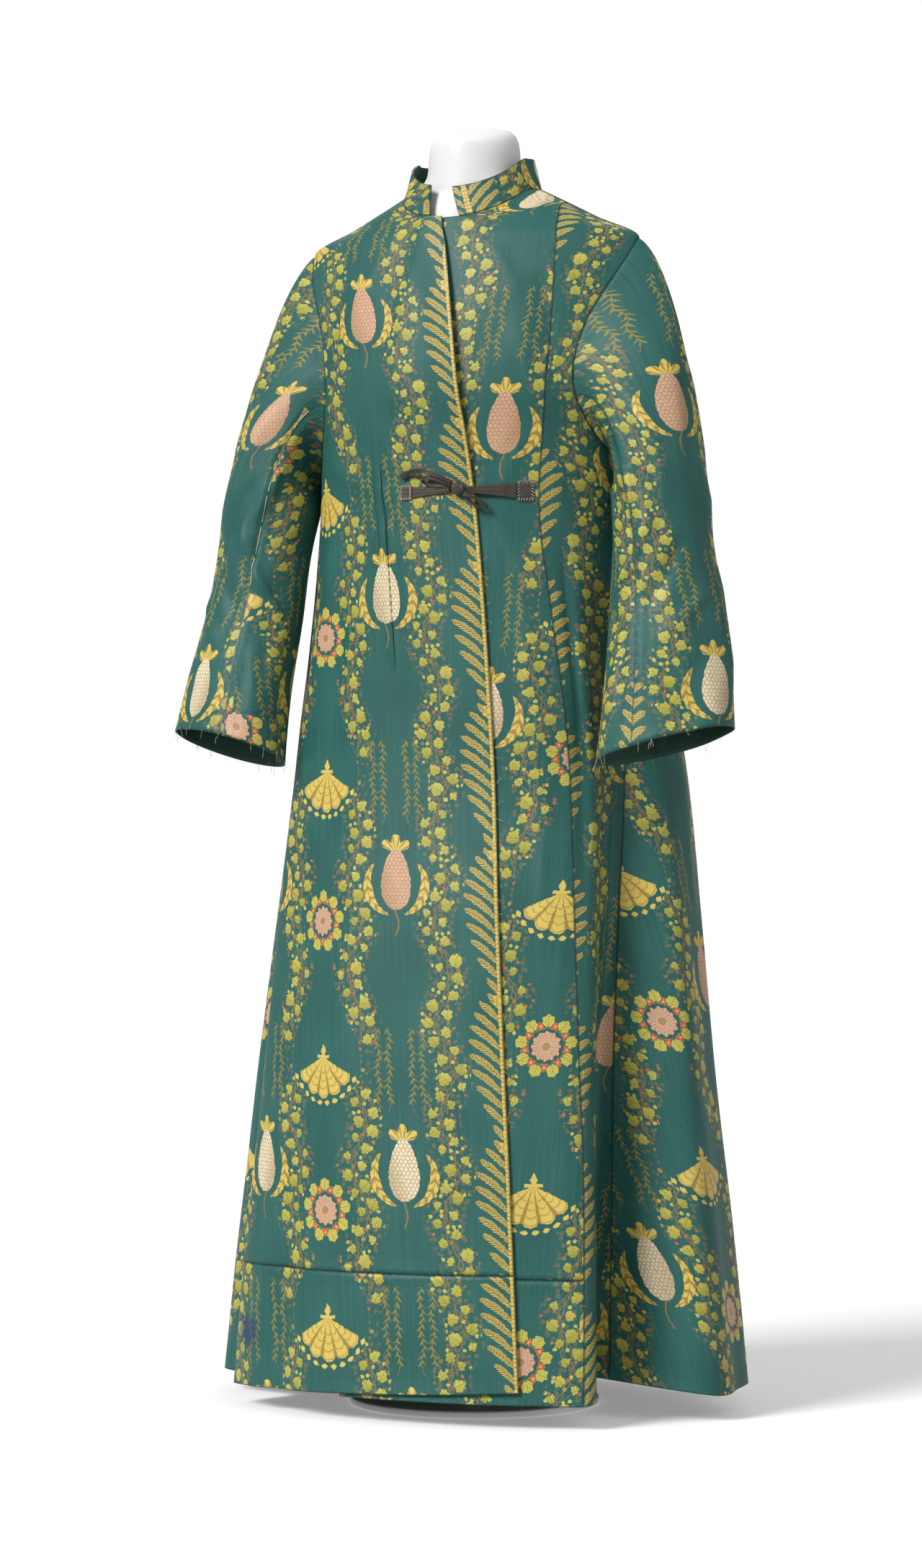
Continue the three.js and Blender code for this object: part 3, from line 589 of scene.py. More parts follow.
figured_silk, start = new_material("figured_silk")
cloth = start.map("cloth")
flat = start.node("VectorMath", {"operation": "SCALE"}, {0: cloth, "Scale": 1000.0})
u, v, _ = flat.parts()
shake = flat.noise(0.21, 1.0, "2D", 1)
shaken = start.node("VectorMath", {"operation": "MULTIPLY_ADD"}, {0: shake, 1: (2.4, 2.4, 0), 2: flat})
across, up, _ = shaken.parts()
across = across.maths("PINGPONG", MIRROR)
up = up % REPEAT

# Shell on the fold line, open downwards: ribs from its hinge, a scalloped rim, a string of beads.
shell_x = MIRROR - across
shell_y = SHELL_UP - up
shell_far = shell_x.far(shell_y)
shell_turn = shell_x.angle(shell_y)
scallop = abs((shell_turn * 6.5).cos())
shell = (shell_far - scallop * 5).below(41).both(abs(shell_turn).below(1.14, 0.02))
shell_ribs = (scallop - shell_far * 0.002).below(0.3, 0.08)
shell_growth = (shell_far * 0.75 - scallop * 3).sin().below(-0.82, 0.15).both(shell_far.above(16))
shell_dark = shell_ribs.either(shell_growth * 0.7).both(shell)
beads = ((shell_turn * 26).cos() * 1.6 + abs(shell_far - 51)).below(1.1, 0.4)
beads = beads.both(abs(shell_turn).below(1.2, 0.02))
hinge = (abs(shell_x) * 0.9 + abs(shell_y + 6) * 0.5).below(4)
hinge = hinge.either(abs(shell_x).below(10).both(abs(shell_y).below(1.7)))

# Wreath: a rayed flower in a ring of leaves, with small red flowers between them.
wreath_y = up - WREATH_UP
wreath_far = shell_x.far(wreath_y)
wreath_turn = shell_x.angle(wreath_y)
daisy = (wreath_far - (wreath_turn * 12).cos() * 1.1).below(15.5)
daisy_gaps = (wreath_turn * 24).cos().below(-0.6, 0.25).both(wreath_far.above(6))
daisy_heart = wreath_far.below(4.6)
ring_step = FULL_TURN / WREATH_LEAVES
ring_turn = (wreath_turn + ring_step / 2 + FULL_TURN) % ring_step - ring_step / 2
ring_out = wreath_far * ring_turn.cos() - 27
ring_side = wreath_far * ring_turn.sin()
ring_leaf_turn = ring_side.angle(ring_out)
ring_leaf_edge = (ring_leaf_turn * 7).cos() * 0.6 + ring_leaf_turn.cos() * 0.8
ring_leaf = (ring_out.far(ring_side) - ring_leaf_edge).below(6.6)
ring_barbs = (ring_out * 2.1 - abs(ring_side) * 2.3).sin().above(0.55, 0.2)
ring_veins = abs(ring_side).below(0.35).either(ring_barbs)
between_turn = (wreath_turn + FULL_TURN) % ring_step - ring_step / 2
bloom_out = wreath_far * between_turn.cos() - 23
bloom_side = wreath_far * between_turn.sin()
bloom_far = bloom_out.far(bloom_side)
bloom = (bloom_far - (bloom_side.angle(bloom_out) * 5).cos()).below(3.9)
bloom_heart = bloom_far.below(1.2)
hoop = abs(wreath_far - 20).below(0.45)

# Vines: a winding double stem, a leaf to each side in turn, tendrils and berries.
beside = abs(across - VINE_ACROSS) - VINE_ASIDE
off_stem = beside - (up * VINE_WAVE).sin() * VINE_SWING
side = off_stem.maths("SIGN")
twist = (up * (VINE_WAVE * 4)).sin() * 2.2
stems = abs(off_stem + twist).below(0.55).either(abs(off_stem - twist).below(0.55))
leaf_step = REPEAT / VINE_LEAVES
climb = (up + side * (leaf_step / 4)) % REPEAT / leaf_step
rung = climb.maths("FLOOR")
key = start.node("CombineXYZ", {}, {0: rung, 1: side, 2: across.above(VINE_ACROSS, 0.1)})
chance = start.node("TexWhiteNoise", {"noise_dimensions": "3D"}, {"Vector": key}, 1).parts()
leaf_v = (climb - rung - 0.5) * leaf_step + chance[0] * 3 - 1.5
leaf_u = beside - ((up - leaf_v) * VINE_WAVE).sin() * VINE_SWING - side * (chance[1] * 3 + 9)
leaf_clear = (shell_x + leaf_u).far(shell_y + leaf_v).above(58, 0.5)
leaf_clear = leaf_clear.both((shell_x + leaf_u).far(wreath_y - leaf_v).above(43, 0.5))
leaf_u = leaf_u * side
lean = chance[2] * 1.3 + 0.1
along = leaf_v * lean.sin() + leaf_u * lean.cos()
athwart = leaf_v * lean.cos() - leaf_u * lean.sin()
leaf_turn = athwart.angle(along)
leaf_edge = chance[0] * 3.4 + 4.1 + (leaf_turn * 7).cos() * 0.55 - leaf_turn.cos() * 0.9
leaf_edge = leaf_edge + (leaf_turn * 3 + chance[1] * 9).cos() * 0.5
leaf = (along.far(athwart) - leaf_edge).below(0).both(leaf_clear)
leaf_barbs = (along * 2.2 - abs(athwart) * 2.2).sin().above(0.62, 0.2)
leaf_veins = abs(athwart).below(0.3).either(leaf_barbs)
stalk = abs(athwart).below(0.35).both(along.below(0)).both(abs(off_stem).below(9)).both(leaf_clear)
vine_clear = shell_far.above(54).both(wreath_far.above(37))

# Curls, berries and young leaves fill the ground beside the vines, one round each scattered point.
nearest = start.node("TexVoronoi", {"voronoi_dimensions": "2D"}, {
    "Vector": across.point(up), "Scale": 1 / CURL_CELL, "Randomness": 0.85,
}, "Distance")
curl_far = nearest * CURL_CELL
curl_u, curl_v, _ = Value(start.tree, nearest.socket.node.outputs["Position"]).parts()
curl_chance = Value(start.tree, nearest.socket.node.outputs["Color"]).parts()
curl_turn = (across - curl_u).angle(up - curl_v)
curls = abs(curl_far - 1.75).below(0.36).both((curl_turn + curl_chance[1] * 3).above(-1.2))
curls = curls.either(curl_far.below(0.55))
tendrils = curls.both(abs(off_stem).below(23, 3)).both(curl_chance[2].above(0.1, 0.01))
berries = curl_far.below(1.4).both(curl_chance[0].above(0.9, 0.01)).both(abs(off_stem).below(22))
young = (curl_far - (curl_turn * 5).cos() * 0.3).below(2.1)
young = young.both(abs(curl_chance[0] - 0.3).below(0.1, 0.01))
young = young.both(abs(off_stem).below(20)).both(vine_clear)

# Laurel on the other fold line: rising leaves to both sides of a gold stem, in two sprays, with a
# round boss where they meet.
rise = up - across * 1.15 + across * across * 0.011
laurel_step = REPEAT / LAUREL_LEAVES
laurel_off = (rise + REPEAT) % laurel_step - laurel_step / 2
spray_swell = abs(((rise - laurel_off) * (np.pi / SPRAY_LENGTH)).sin())
laurel_reach = across / (spray_swell ** 0.7 * 32 + 6)
laurel_half = (laurel_reach * (1 - laurel_reach) * 4).either(0) ** 0.55 * 5
laurel = (abs(laurel_off) - laurel_half).below(0, 0.3).both(laurel_reach.below(1, 0.02))
barb = (across * 1.9 - abs(laurel_off) * 2.6 + laurel_off * 0.6).sin()
laurel_gaps = barb.below(-0.62, 0.2).both(abs(laurel_off).above(0.7))
laurel_dark = barb.below(-0.05, 0.25).either(abs(laurel_off).below(0.5))
rod = across.below(3.2)
rod_dark = (up * 1.35).sin().above(0.6, 0.3).either(across.below(0.3))
boss_v = (up + SPRAY_LENGTH / 2) % SPRAY_LENGTH - SPRAY_LENGTH / 2
boss_far = across.far(boss_v)
boss_turn = across.angle(boss_v)
boss = (boss_far - (boss_turn * 6).cos() * 1.4).below(8)
boss_dark = abs(boss_far - 4.6).below(0.5).either((boss_turn * 12).cos().below(-0.7, 0.2))
boss_heart = boss_far.below(2.6)

# Fruit: a scaled body in cream or pink, a crown of pointed leaves and two striped side leaves.
fruit_x, fruit_y = across - VINE_ACROSS, up - FRUIT_UP
fruit_half = 18 - fruit_y * 0.14
fruit_in = (fruit_x / fruit_half).far(fruit_y / 34)
fruit = fruit_in.below(1, 0.015)
fruit_halo = fruit_in.below(1.5, 0.02)
fruit_shade = (fruit_x / 18 - fruit_y / 60).either(0)
pink_row = (v / (2 * REPEAT) % 1).above(0.5, 0.001)
scale_row = fruit_y / 4.2
scale_x = (fruit_x / 5.0 + scale_row.maths("FLOOR") * 0.5) % 1 - 0.5
scale_far = (scale_x * 1.6).far(scale_row % 1)
scales = abs(scale_far - 0.8).below(0.12, 0.07)
crown_y = fruit_y - 29
crown_far = fruit_x.far(crown_y)
crown_turn = fruit_x.angle(crown_y)
crown = (crown_far - abs((crown_turn * 3.5).cos()) * 9).below(12)
crown = crown.both(abs(crown_turn).below(1.25, 0.02))
crown_dark = (crown_turn * 14).cos().below(-0.5, 0.2).both(crown_far.above(5))
wing_x, wing_y = abs(fruit_x) - 2, fruit_y + 4
wing_far = wing_x.far(wing_y)
wing_turn = wing_x.angle(wing_y)
wing_half = (1.05 - abs(wing_turn - 1.9)).either(0) ** 0.6 * 6.5
wing_off = abs(wing_far - 32 - wing_turn * 1.5)
wing = (wing_off - wing_half + 0.5).below(0)
wing_dark = (wing_turn * 19 - abs(wing_far - 35) * 0.55).sin().above(0.35, 0.2)
wing_dark = wing_dark.either(wing_off.below(0.4))
bract = abs(fruit_x - (fruit_y * 0.16).sin() * 2.5).below(1.0).both(abs(fruit_y + 48).below(15))

# Hanging sprays of small leaves beside the fruit and under the shell.
spray_x = abs(abs(across - VINE_ACROSS) - 21) - (up * 0.19).sin() * 1.8 - 6.5
spray_leaf = (up * 0.85 + abs(spray_x) * 0.8 + spray_x.maths("SIGN")).sin() - abs(spray_x) * 0.2
spray = spray_leaf.above(0.1, 0.2).both(abs(up - 244).below(42))
spray_line = abs(spray_x).below(0.35).both(abs(up - 240).below(46))

# Ground with the streaks of its warp, then the figures laid over it in turn, and a small blue stain
# near the hem. Floating wefts cross all of it, and painted shade darkens the cloth along its seams and
# free edges.
streak = (u * 0.55).point(v * 0.009).noise(1.0, 2.0, "2D")
tone = ((streak + flat.noise(0.012, 1.0, "2D") * 0.8 - 0.62) * 1.3).either(0)
fine = tendrils.both(1 - fruit_halo).either(stems).either(stalk).both(vine_clear)
leaf_colour = (chance[1] * 0.5 + leaf_v * 0.05 + 0.4).between(LEAF_GREEN, LEAF_YELLOW)
stain_x, stain_y, stain_z = start.place().parts()
stain_far = (stain_x - STAIN_ACROSS).far(stain_z - STAIN_UP) * 1000 + tone * 6
figure = tone.between(TEAL, TEAL_PALE)
for colour, mask in (
    (BROWN, fine.either(spray_line).either(bract).either(hoop) * 0.85),
    (OLIVE, spray * 0.9),
    (CORAL, berries.both(vine_clear).either(bloom)),
    (LEAF_YELLOW, young * 0.8),
    (leaf_colour.over(LEAF_VEIN, leaf_veins * 0.7), leaf),
    (GOLD_DARK, laurel.both(1 - laurel_gaps)),
    (GOLD, laurel.both(1 - laurel_dark).either(rod).either(boss).either(beads).either(hinge)),
    (GOLD_DARK, rod.both(rod_dark).both(1 - boss).either(boss_dark.both(boss)) * 0.75),
    (LEAF_YELLOW, ring_leaf),
    (LEAF_VEIN, ring_leaf.both(ring_veins) * 0.7),
    (GOLD, wing.either(crown).either(shell)),
    (GOLD_DARK, wing_dark.both(wing).either(crown_dark.both(crown)).either(shell_dark) * 0.8),
    (pink_row.between(CREAM, PINK), fruit),
    (BROWN, fruit.both(scales) * 0.75),
    (BROWN, fruit.both(fruit_shade) * 0.45),
    (PINK, daisy),
    (BROWN, daisy.both(daisy_gaps.either(daisy_heart)) * 0.75),
    (GOLD, bloom_heart.either(boss_heart.both(boss))),
    (STAIN_BLUE, stain_far.below(STAIN_RADIUS, 6).both(stain_y.below(0, 0.01)) * 0.65),
):
    figure = figure.over(colour, mask)
worked = fruit
for part in (daisy, leaf, shell, wing, laurel, rod, ring_leaf):
    worked = worked.either(part)
weft = (v * 5.2).sin() * (worked * 0.09 + 0.03) + 0.96
figure = start.node("VectorMath", {"operation": "SCALE"}, {0: figure, "Scale": weft})
rim_u, rim_v, _ = start.map("rim").parts()
rim_far = rim_u.both(rim_v) * 1000
# Painted shade: the silk is darkened within about a millimetre of every seam and free edge.
figure = figure.over(TEAL_PAINTED_SHADE, rim_far.below(1.2, 0.7) * 0.7)
slub = (u * 0.9).point(v * 2.2).noise(1.0, 3.0, "2D")
pucker = flat.noise(0.13, 1.0, "2D") * rim_far.below(7, 7)
finish_material(start, {
    "Base Color": figure, "Roughness": 0.52 - worked * 0.08, "Specular IOR Level": 0.28,
    "Normal": (slub * 0.35 + pucker * 4.5 + worked * 0.5).bump(0.4, 0.0006),
})

silk_reverse, start = new_material("silk_reverse")
threads = start.map("cloth").noise(60.0, 4.0, "2D")
finish_material(start, {
    "Base Color": threads.between(REVERSE_DARK, REVERSE_PALE), "Roughness": 0.75,
    "Specular IOR Level": 0.25,
})


def dress(piece, node=None, materials=(figured_silk, silk_reverse)):
    for material in materials:
        piece.data.materials.append(material)
    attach(piece, "root")
    if node:
        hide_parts(node)


def silk_panel(name, node, points, uv):
    panel = cloth_mesh(name, points, uv, edge_distances(points))
    thicken(panel, SILK_THICK)
    dress(panel, node)
    return panel


right_front = {
    "start": lambda z: -side_end(z, FRONT_NOTCH), "end": right_front_end, "columns": shares(290, CELL),
    "lift": lap_lift, "hem": right_hem,
}
right_points = panel_points(body_rows, trim=(SEAM_GAP / 2, 0), **right_front)
right_uv = panel_uv(right_points, -1, 0, 20, slope_row(body_rows))
front_right = silk_panel("silk_right_front", "front_right", right_points, right_uv)

# A tuck stands up from the waist of the right front, lapped towards its free edge.
TUCK_TOP, TUCK_FOOT = 1048, 806
TUCK_TURNS = (-18.3, -8.8)
TUCK_RISE = 2.3
TUCK_SINK = 1.3
TUCK_THICK = 0.5
TUCK_ROWS = 60
# across from the tuck's line, and height as a share of its rise, or in millimetres under the cloth
TUCK_PROFILE = (
    (-12, -0.4), (-8.5, 0.22), (-5, 0.6), (-2, 0.92), (-0.4, 1), (0.3, 0.86), (0.5, 0.3), (0.4, -0.4),
)
tuck_rows = np.linspace(TUCK_TOP, TUCK_FOOT, TUCK_ROWS)
tuck_share = np.linspace(0, 1, TUCK_ROWS)
tuck_line = skin(TUCK_TURNS[0] + (TUCK_TURNS[1] - TUCK_TURNS[0]) * tuck_share, tuck_rows)[:, 0]
tuck_line = tuck_line + 0.8 * np.sin(tuck_share * 9)
tuck_swell = np.sin(np.pi * tuck_share)
tuck_rise = TUCK_RISE * tuck_swell ** 0.45 * (1 + 0.2 * np.sin(tuck_share * 23))
tuck_sink = TUCK_SINK * (1 - smooth(tuck_swell, 0, 0.4))
tuck_near = [int(np.abs(np.array(body_rows) - z).argmin()) for z in tuck_rows]
tuck_points, tuck_uv = [], []
for aside, lift in TUCK_PROFILE:
    x = tuck_line + aside
    tuck_out = LAP_LIFT + tuck_rise * max(lift, 0) + min(lift, 0) - tuck_sink
    tuck_points.append(cloth_point(turn_at(x, tuck_rows), tuck_rows, tuck_out))
    column = []
    for at, z, row in zip(x, tuck_rows, tuck_near):
        below_u, below_v = (np.interp(at, right_points[row, :, 0], right_uv[row, :, i]) for i in (0, 1))
        column.append((below_u, below_v + z - body_rows[row]))
    tuck_uv.append(column)
tuck_points, tuck_uv = (np.array(table).swapaxes(0, 1)[::-1] for table in (tuck_points, tuck_uv))
tuck = cloth_mesh("silk_front_tuck", tuck_points, tuck_uv, np.full_like(tuck_uv, 30))
thicken(tuck, TUCK_THICK)
dress(tuck)


# ---- Left front -----------------------------------------------------------------------------------
# The left front, of the same silk, runs from its side of the neck down under the right front. A long
# seam joins it to the side front.
GORE_TOP = 1340


def seam_turn(z):
    inside = np.minimum(side_front_seam(z), half_width(z) - 2)
    return np.where(z > GORE_TOP, 90, turn_at(inside, z))


def left_front_start(z):
    return turn_at(np.where(z > NECK_PIT, neckline_half(z), left_edge(z)), z)


left_front = {"start": left_front_start, "end": seam_turn, "columns": shares(220, CELL)}
left_points = panel_points(body_rows, trim=(SEAM_GAP / 2, 0), **left_front)
left_uv = panel_uv(left_points, 0, 12, 150, slope_row(body_rows))
front_left = silk_panel("silk_left_front", "front_left", left_points, left_uv)


# ---- Left side front ------------------------------------------------------------------------------
# A long gore of the same silk from the shoulder to the hem, beside the armhole. It swings out into the
# deep fold below the waist.
whole_rows = band_rows[:-1] + body_rows
gore_rows = [z for z in whole_rows if z < GORE_TOP - 1] + [GORE_TOP]
gore_points = panel_points(gore_rows, seam_turn, lambda z: side_end(z, FRONT_NOTCH), shares(150, 5))
gore_uv = panel_uv(gore_points, 10, 40, 60, slope_row(gore_rows))
side_front = silk_panel("silk_side_front", "side_front_left", gore_points, gore_uv)


# ---- Back -----------------------------------------------------------------------------------------
# Two halves behind, joined by a seam down the middle. Each runs round to its side seam, with the side
# skirt's folds in it, and the figure is matched across the seam.
def back_side(z):
    return np.where(z <= ARMHOLE_BOTTOM, side_seam(z), 180 - side_end(z, BACK_NOTCH))


back_halves = {}
for name, node, start_turn, end_turn, grain in (
    ("silk_back_left", "back_left", back_side, lambda z: np.full_like(z, 180), -1),
    ("silk_back_right", "back_right", lambda z: np.full_like(z, 180), lambda z: 360 - back_side(z), 0),
):
    points = panel_points(whole_rows, start_turn, end_turn, shares(380, CELL))
    back = silk_panel(name, node, points, panel_uv(points, grain, MIRROR, 0, slope_row(whole_rows)))
    back_halves[node] = points


# ---- Hem bands ------------------------------------------------------------------------------------
# Strips of the same silk, pieced on across the bottom of both fronts, where the cut lengths fell short.
# Their figure is out of step with that of the fronts.
for name, node, panel, grain, step, width in (
    ("silk_band_right", "hem_band_right", right_front, -1, (0, 172), 0.47),
    ("silk_band_left", "hem_band_left", left_front, 0, (12, 36), 0.28),
):
    points = panel_points(band_rows, trim=(0, SEAM_GAP / 2), **panel)
    band = silk_panel(name, node, points, panel_uv(points, grain, *step))


# ---- Sleeves --------------------------------------------------------------------------------------
# Long sleeves of two pieces, set in at the armhole and open at the wrist. round: 0 outside and on top
# of the arm, 90 in front, 180 under it.
SLEEVE_GAP = 0.4
CAP_STEPS = 30
SLEEVE_COLUMNS = 96
SLEEVE_SEAM, BACK_SLEEVE_SEAM = 120, -96
SLEEVE_DRAPE = 1.6
SEAM_COLUMN = SLEEVE_SEAM * SLEEVE_COLUMNS // 360
TOP_COLUMN = SLEEVE_COLUMNS - SEAM_COLUMN
# height, middle across, middle in depth, half width across, half width along, turn
SLEEVE = np.array([
    (735, 266, -82, 75, 52, 22),
    (810, 262, -68, 69, 50, 22),
    (900, 252, -48, 61, 48, 20),
    (970, 244, -38, 55, 52, 14),
    (1005, 241, -31, 55, 58, 9),
])
# left 1 and right -1: the wrist edge's rise outwards and its rise forwards
CUFF_SLANTS = {1: (0.25, 0.2), -1: (0.1, 0.39)}
SLEEVE_CREASES = (
    (95, 985, 140, 905, 6, 2.6),
    (60, 960, 110, 885, 7, -2.6),
    (120, 940, 165, 880, 5, 2.2),
    (40, 905, 95, 850, 8, 2.0),
    (100, 1040, 80, 960, 8, -2.2),
    (75, 1120, 70, 1000, 9, 2.2),
    (130, 1060, 112, 990, 6, 2.4),
    (20, 1140, 30, 1020, 11, -1.8),
    (-20, 1160, -15, 1040, 12, 1.8),
    (-60, 1080, -45, 960, 9, 2.2),
    (-95, 1040, -70, 930, 8, -2.4),
    (-120, 980, -85, 880, 7, 2.2),
    (0, 930, 10, 800, 14, 1.8),
    (60, 840, 70, 750, 9, -1.8),
    (-50, 860, -40, 760, 11, 1.6),
    (140, 860, 150, 760, 8, 1.6),
)
sleeve_x, sleeve_y, sleeve_outer, sleeve_front, sleeve_turn = (
    curve_through(SLEEVE[:, 0], SLEEVE[:, column]) for column in range(1, 6)
)


def sleeve_point(round_, z, slant):
    angle, turn = np.radians(round_), np.radians(sleeve_turn(z))
    outwards = sleeve_outer(z) * np.cos(angle)
    forwards = sleeve_front(z) * np.sin(angle)
    x = sleeve_x(z) + outwards * np.cos(turn) + forwards * np.sin(turn)
    y = sleeve_y(z) + outwards * np.sin(turn) - forwards * np.cos(turn)
    down = (SLEEVE[-1, 0] - z) / (SLEEVE[-1, 0] - SLEEVE[0, 0])
    return np.stack([x, y, z + down * down * (slant[0] * outwards + slant[1] * forwards)], -1)


def armhole_points(rounds):
    z = armhole_height(rounds)
    turn = np.where(rounds <= 180, side_end(z, FRONT_NOTCH), back_side(z))
    points = skin(turn, z)
    half_way = np.full_like(z, (ARMHOLE_TOP + ARMHOLE_BOTTOM) / 2)
    middle = np.stack([points[:, 0], side_depth(z), half_way], -1)
    return points + unit(middle - points) * SLEEVE_GAP


def sleeve_points(slant):
    rounds = np.arange(SLEEVE_COLUMNS) * 360 / SLEEVE_COLUMNS
    wrist, upper = float(SLEEVE[0, 0]), float(SLEEVE[-1, 0])
    first, last = armhole_points(rounds), sleeve_point(rounds, np.full_like(rounds, upper), slant)
    span = np.linalg.norm(last - first, axis=-1)[:, None]
    under = ((1 - np.cos(np.radians(rounds))) / 2)[:, None]
    leave = unit(np.concatenate([np.ones_like(under), np.zeros_like(under), -0.45 + 0.75 * under], 1))
    leave = leave * span * (0.42 + 0.48 * under)
    arrive = np.array([0.18, 0, -0.98]) * span
    rings = []
    for t in np.linspace(0, 1, CAP_STEPS + 1)[:-1]:
        blend = t * t * (3 - 2 * t)
        swing = leave * t * (1 - t) ** 2 + arrive * t * t * (t - 1)
        rings.append(first * (1 - blend) + last * blend + swing)
    for z in [upper] + rows_between(wrist, upper - 5, 5.2)[::-1]:
        rings.append(sleeve_point(rounds, np.full_like(rounds, z), slant))
    rings = np.array(rings)
    along = np.roll(rings, -1, 1) - np.roll(rings, 1, 1)
    down = np.gradient(rings, axis=0)
    outwards = unit(np.cross(along, down))
    steps = np.broadcast_to(rounds, rings.shape[:2])
    angle, z = np.radians(steps), rings[:, :, 2]
    drape = crease_height(steps, z, SLEEVE_CREASES, 1.0)
    drape = drape + 0.7 * np.sin(3 * angle + z / 60) + 0.4 * np.sin(7 * angle - z / 33)
    for seam in (SLEEVE_SEAM, BACK_SLEEVE_SEAM):
        aside = np.abs((steps - seam + 540) % 360 - 180)
        drape = drape - 1.3 * np.exp(-((aside / 2.2) ** 2)) + 0.5 * np.exp(-(((aside - 6) / 3) ** 2))
    settle = smooth(np.arange(len(rings)), 0, 5)[:, None]
    return rings + outwards * (drape * SLEEVE_DRAPE * settle)[..., None]


def sleeve_uv(points, across, up):
    """Widths run round from the top line of the arm, heights up each line from the arm's fullest ring."""
    closed = np.concatenate((points, points[:, :1]), 1)
    u = run_lengths(closed, 1)
    u = u - u[:, TOP_COLUMN:TOP_COLUMN + 1]
    u[:CAP_STEPS] = u[CAP_STEPS]
    v = run_lengths(closed, 0)
    v = v[CAP_STEPS] - v
    edge = np.minimum(v.max(0) - v, v - v.min(0))
    seam = run_lengths(closed, 1)
    seam = np.minimum(seam, seam[:, -1:] - seam)
    return np.stack([u + across, v + up], -1), np.stack([seam, edge], -1)


# The small piece let into the right sleeve: its rows up from the wrist, its columns from the front
# seam, and its step in the figure.
PATCH_ROWS, PATCH_COLUMNS, PATCH_STEP = (6, 24), (2, 16), (0.083, 0.121)


def piece_in(sleeve, uv):
    """A small rectangle of another part of the figure is pieced into the right sleeve at the wrist."""
    cloth_layer, rim_layer = (sleeve.data.uv_layers[layer].data for layer in ("cloth", "rim"))
    corners = [uv[-1 - row, column] / 1000 for row, column in zip(PATCH_ROWS, PATCH_COLUMNS)]
    for row in range(*PATCH_ROWS):
        for column in range(*PATCH_COLUMNS):
            for loop in sleeve.data.polygons[row * SLEEVE_COLUMNS + column].loop_indices:
                at = cloth_layer[loop].uv.copy()
                # Distances to the patch's corners, along which painted seam shade darkens the silk.
                rim_layer[loop].uv = [min(abs(at[i] - corner[i]) for corner in corners) for i in (0, 1)]
                cloth_layer[loop].uv = (at.x + PATCH_STEP[0], at.y + PATCH_STEP[1])


sleeve_shapes = {side: np.roll(sleeve_points(CUFF_SLANTS[side]), -SEAM_COLUMN, 1) for side in (1, -1)}
for side, name, node, across_start in (
    (1, "silk_left_sleeve", "sleeve_left", 285),
    (-1, "silk_right_sleeve", "sleeve_right", 30),
):
    points = sleeve_shapes[side] * (side, 1, 1)
    uv, rim = sleeve_uv(points, across_start, 340)
    if side < 0:
        points, uv, rim = points[::-1], uv[::-1], rim[::-1]
    sleeve = cloth_mesh(name, points, uv, rim, around=True)
    if side < 0:
        piece_in(sleeve, uv[::-1])
    thicken(sleeve, SILK_THICK)
    dress(sleeve, node)


# ---- Collar ---------------------------------------------------------------------------------------
# A standing band of the same silk, doubled and stiffened, sewn to the neckline. Its two ends leave the
# throat open.
COLLAR_HEIGHT, COLLAR_THICK, COLLAR_LEAN = 35, 2.4, 10
COLLAR_RIGHT_END, COLLAR_LEFT_END = -20, 15
COLLAR_SKEW_RIGHT, COLLAR_SKEW_LEFT = 10, 13
neck_count = len(neck_rows)
neck_line = np.concatenate((
    right_points[-neck_count:, -1], back_halves["back_right"][-1][::-1],
    back_halves["back_left"][-1][::-1], left_points[-neck_count:, 0][::-1],
))
neck_run = run_lengths(neck_line[None], 1)[0]
collar_start = neck_line[0, 0] - COLLAR_RIGHT_END
collar_end = neck_run[-1] - COLLAR_LEFT_END + neck_line[-1, 0]
collar_share = shares(collar_end - collar_start, 4)
collar_centre = neck_line.mean(0)
collar_rings = []
for level in np.concatenate(([0, 0.03, 0.08], np.linspace(0.16, 0.9, 8), [0.96, 1])):
    skew = level * (COLLAR_SKEW_RIGHT + (COLLAR_SKEW_LEFT - COLLAR_SKEW_RIGHT) * collar_share)
    place = collar_start + (collar_end - collar_start) * collar_share + skew
    ring = np.stack([np.interp(place, neck_run, neck_line[:, axis]) for axis in range(3)], -1)
    inwards = unit((collar_centre - ring) * (1, 1, 0))
    wave = 0.7 * np.sin(collar_share * 40) * level
    ring = ring + inwards * (SEAM_GAP + COLLAR_LEAN * level + wave)[:, None]
    ring[:, 2] += SEAM_GAP + COLLAR_HEIGHT * level
    collar_rings.append(ring)
collar_points = np.array(collar_rings)[:, ::-1]
collar_uv = panel_uv(collar_points, 0, -14, 96)
collar = cloth_mesh("silk_collar", collar_points, collar_uv, edge_distances(collar_points))
thicken(collar, COLLAR_THICK)
dress(collar, "collar")


# ---- Ribbon ties ----------------------------------------------------------------------------------
# Dark silk ribbon with ridges along it, sewn flat to a tab on each front with white thread and tied
# in a small bow. Each ribbon is a narrow strip, so its stations give where it lies over the fronts.
TIE_HEIGHT = 1015
TIE_THICK, TAB_THICK = 0.7, 1.2
KNOT_ACROSS, KNOT_UP, KNOT_OFF = 35, 1018, 5.2
RIBBON_DARK, RIBBON_HIGHLIGHT = (0.012, 0.009, 0.007, 1), (0.085, 0.062, 0.048, 1)
ribbon_silk, start = new_material("ribbon_silk")
# The dark ribbon is painted lighter on the tops of its ridges and in soft patches: a painted highlight and
# painted sheen.
rib = (start.map("cloth").parts()[0] * 5200).sin() * 0.5 + 0.5
sheen_patches = start.place().noise(90.0, 3.0)
finish_material(start, {
    "Base Color": (rib * 0.4 + sheen_patches * 0.5).between(RIBBON_DARK, RIBBON_HIGHLIGHT), "Roughness": 0.42,
    "Specular IOR Level": 0.35, "Normal": rib.bump(0.5, 0.0005),
})

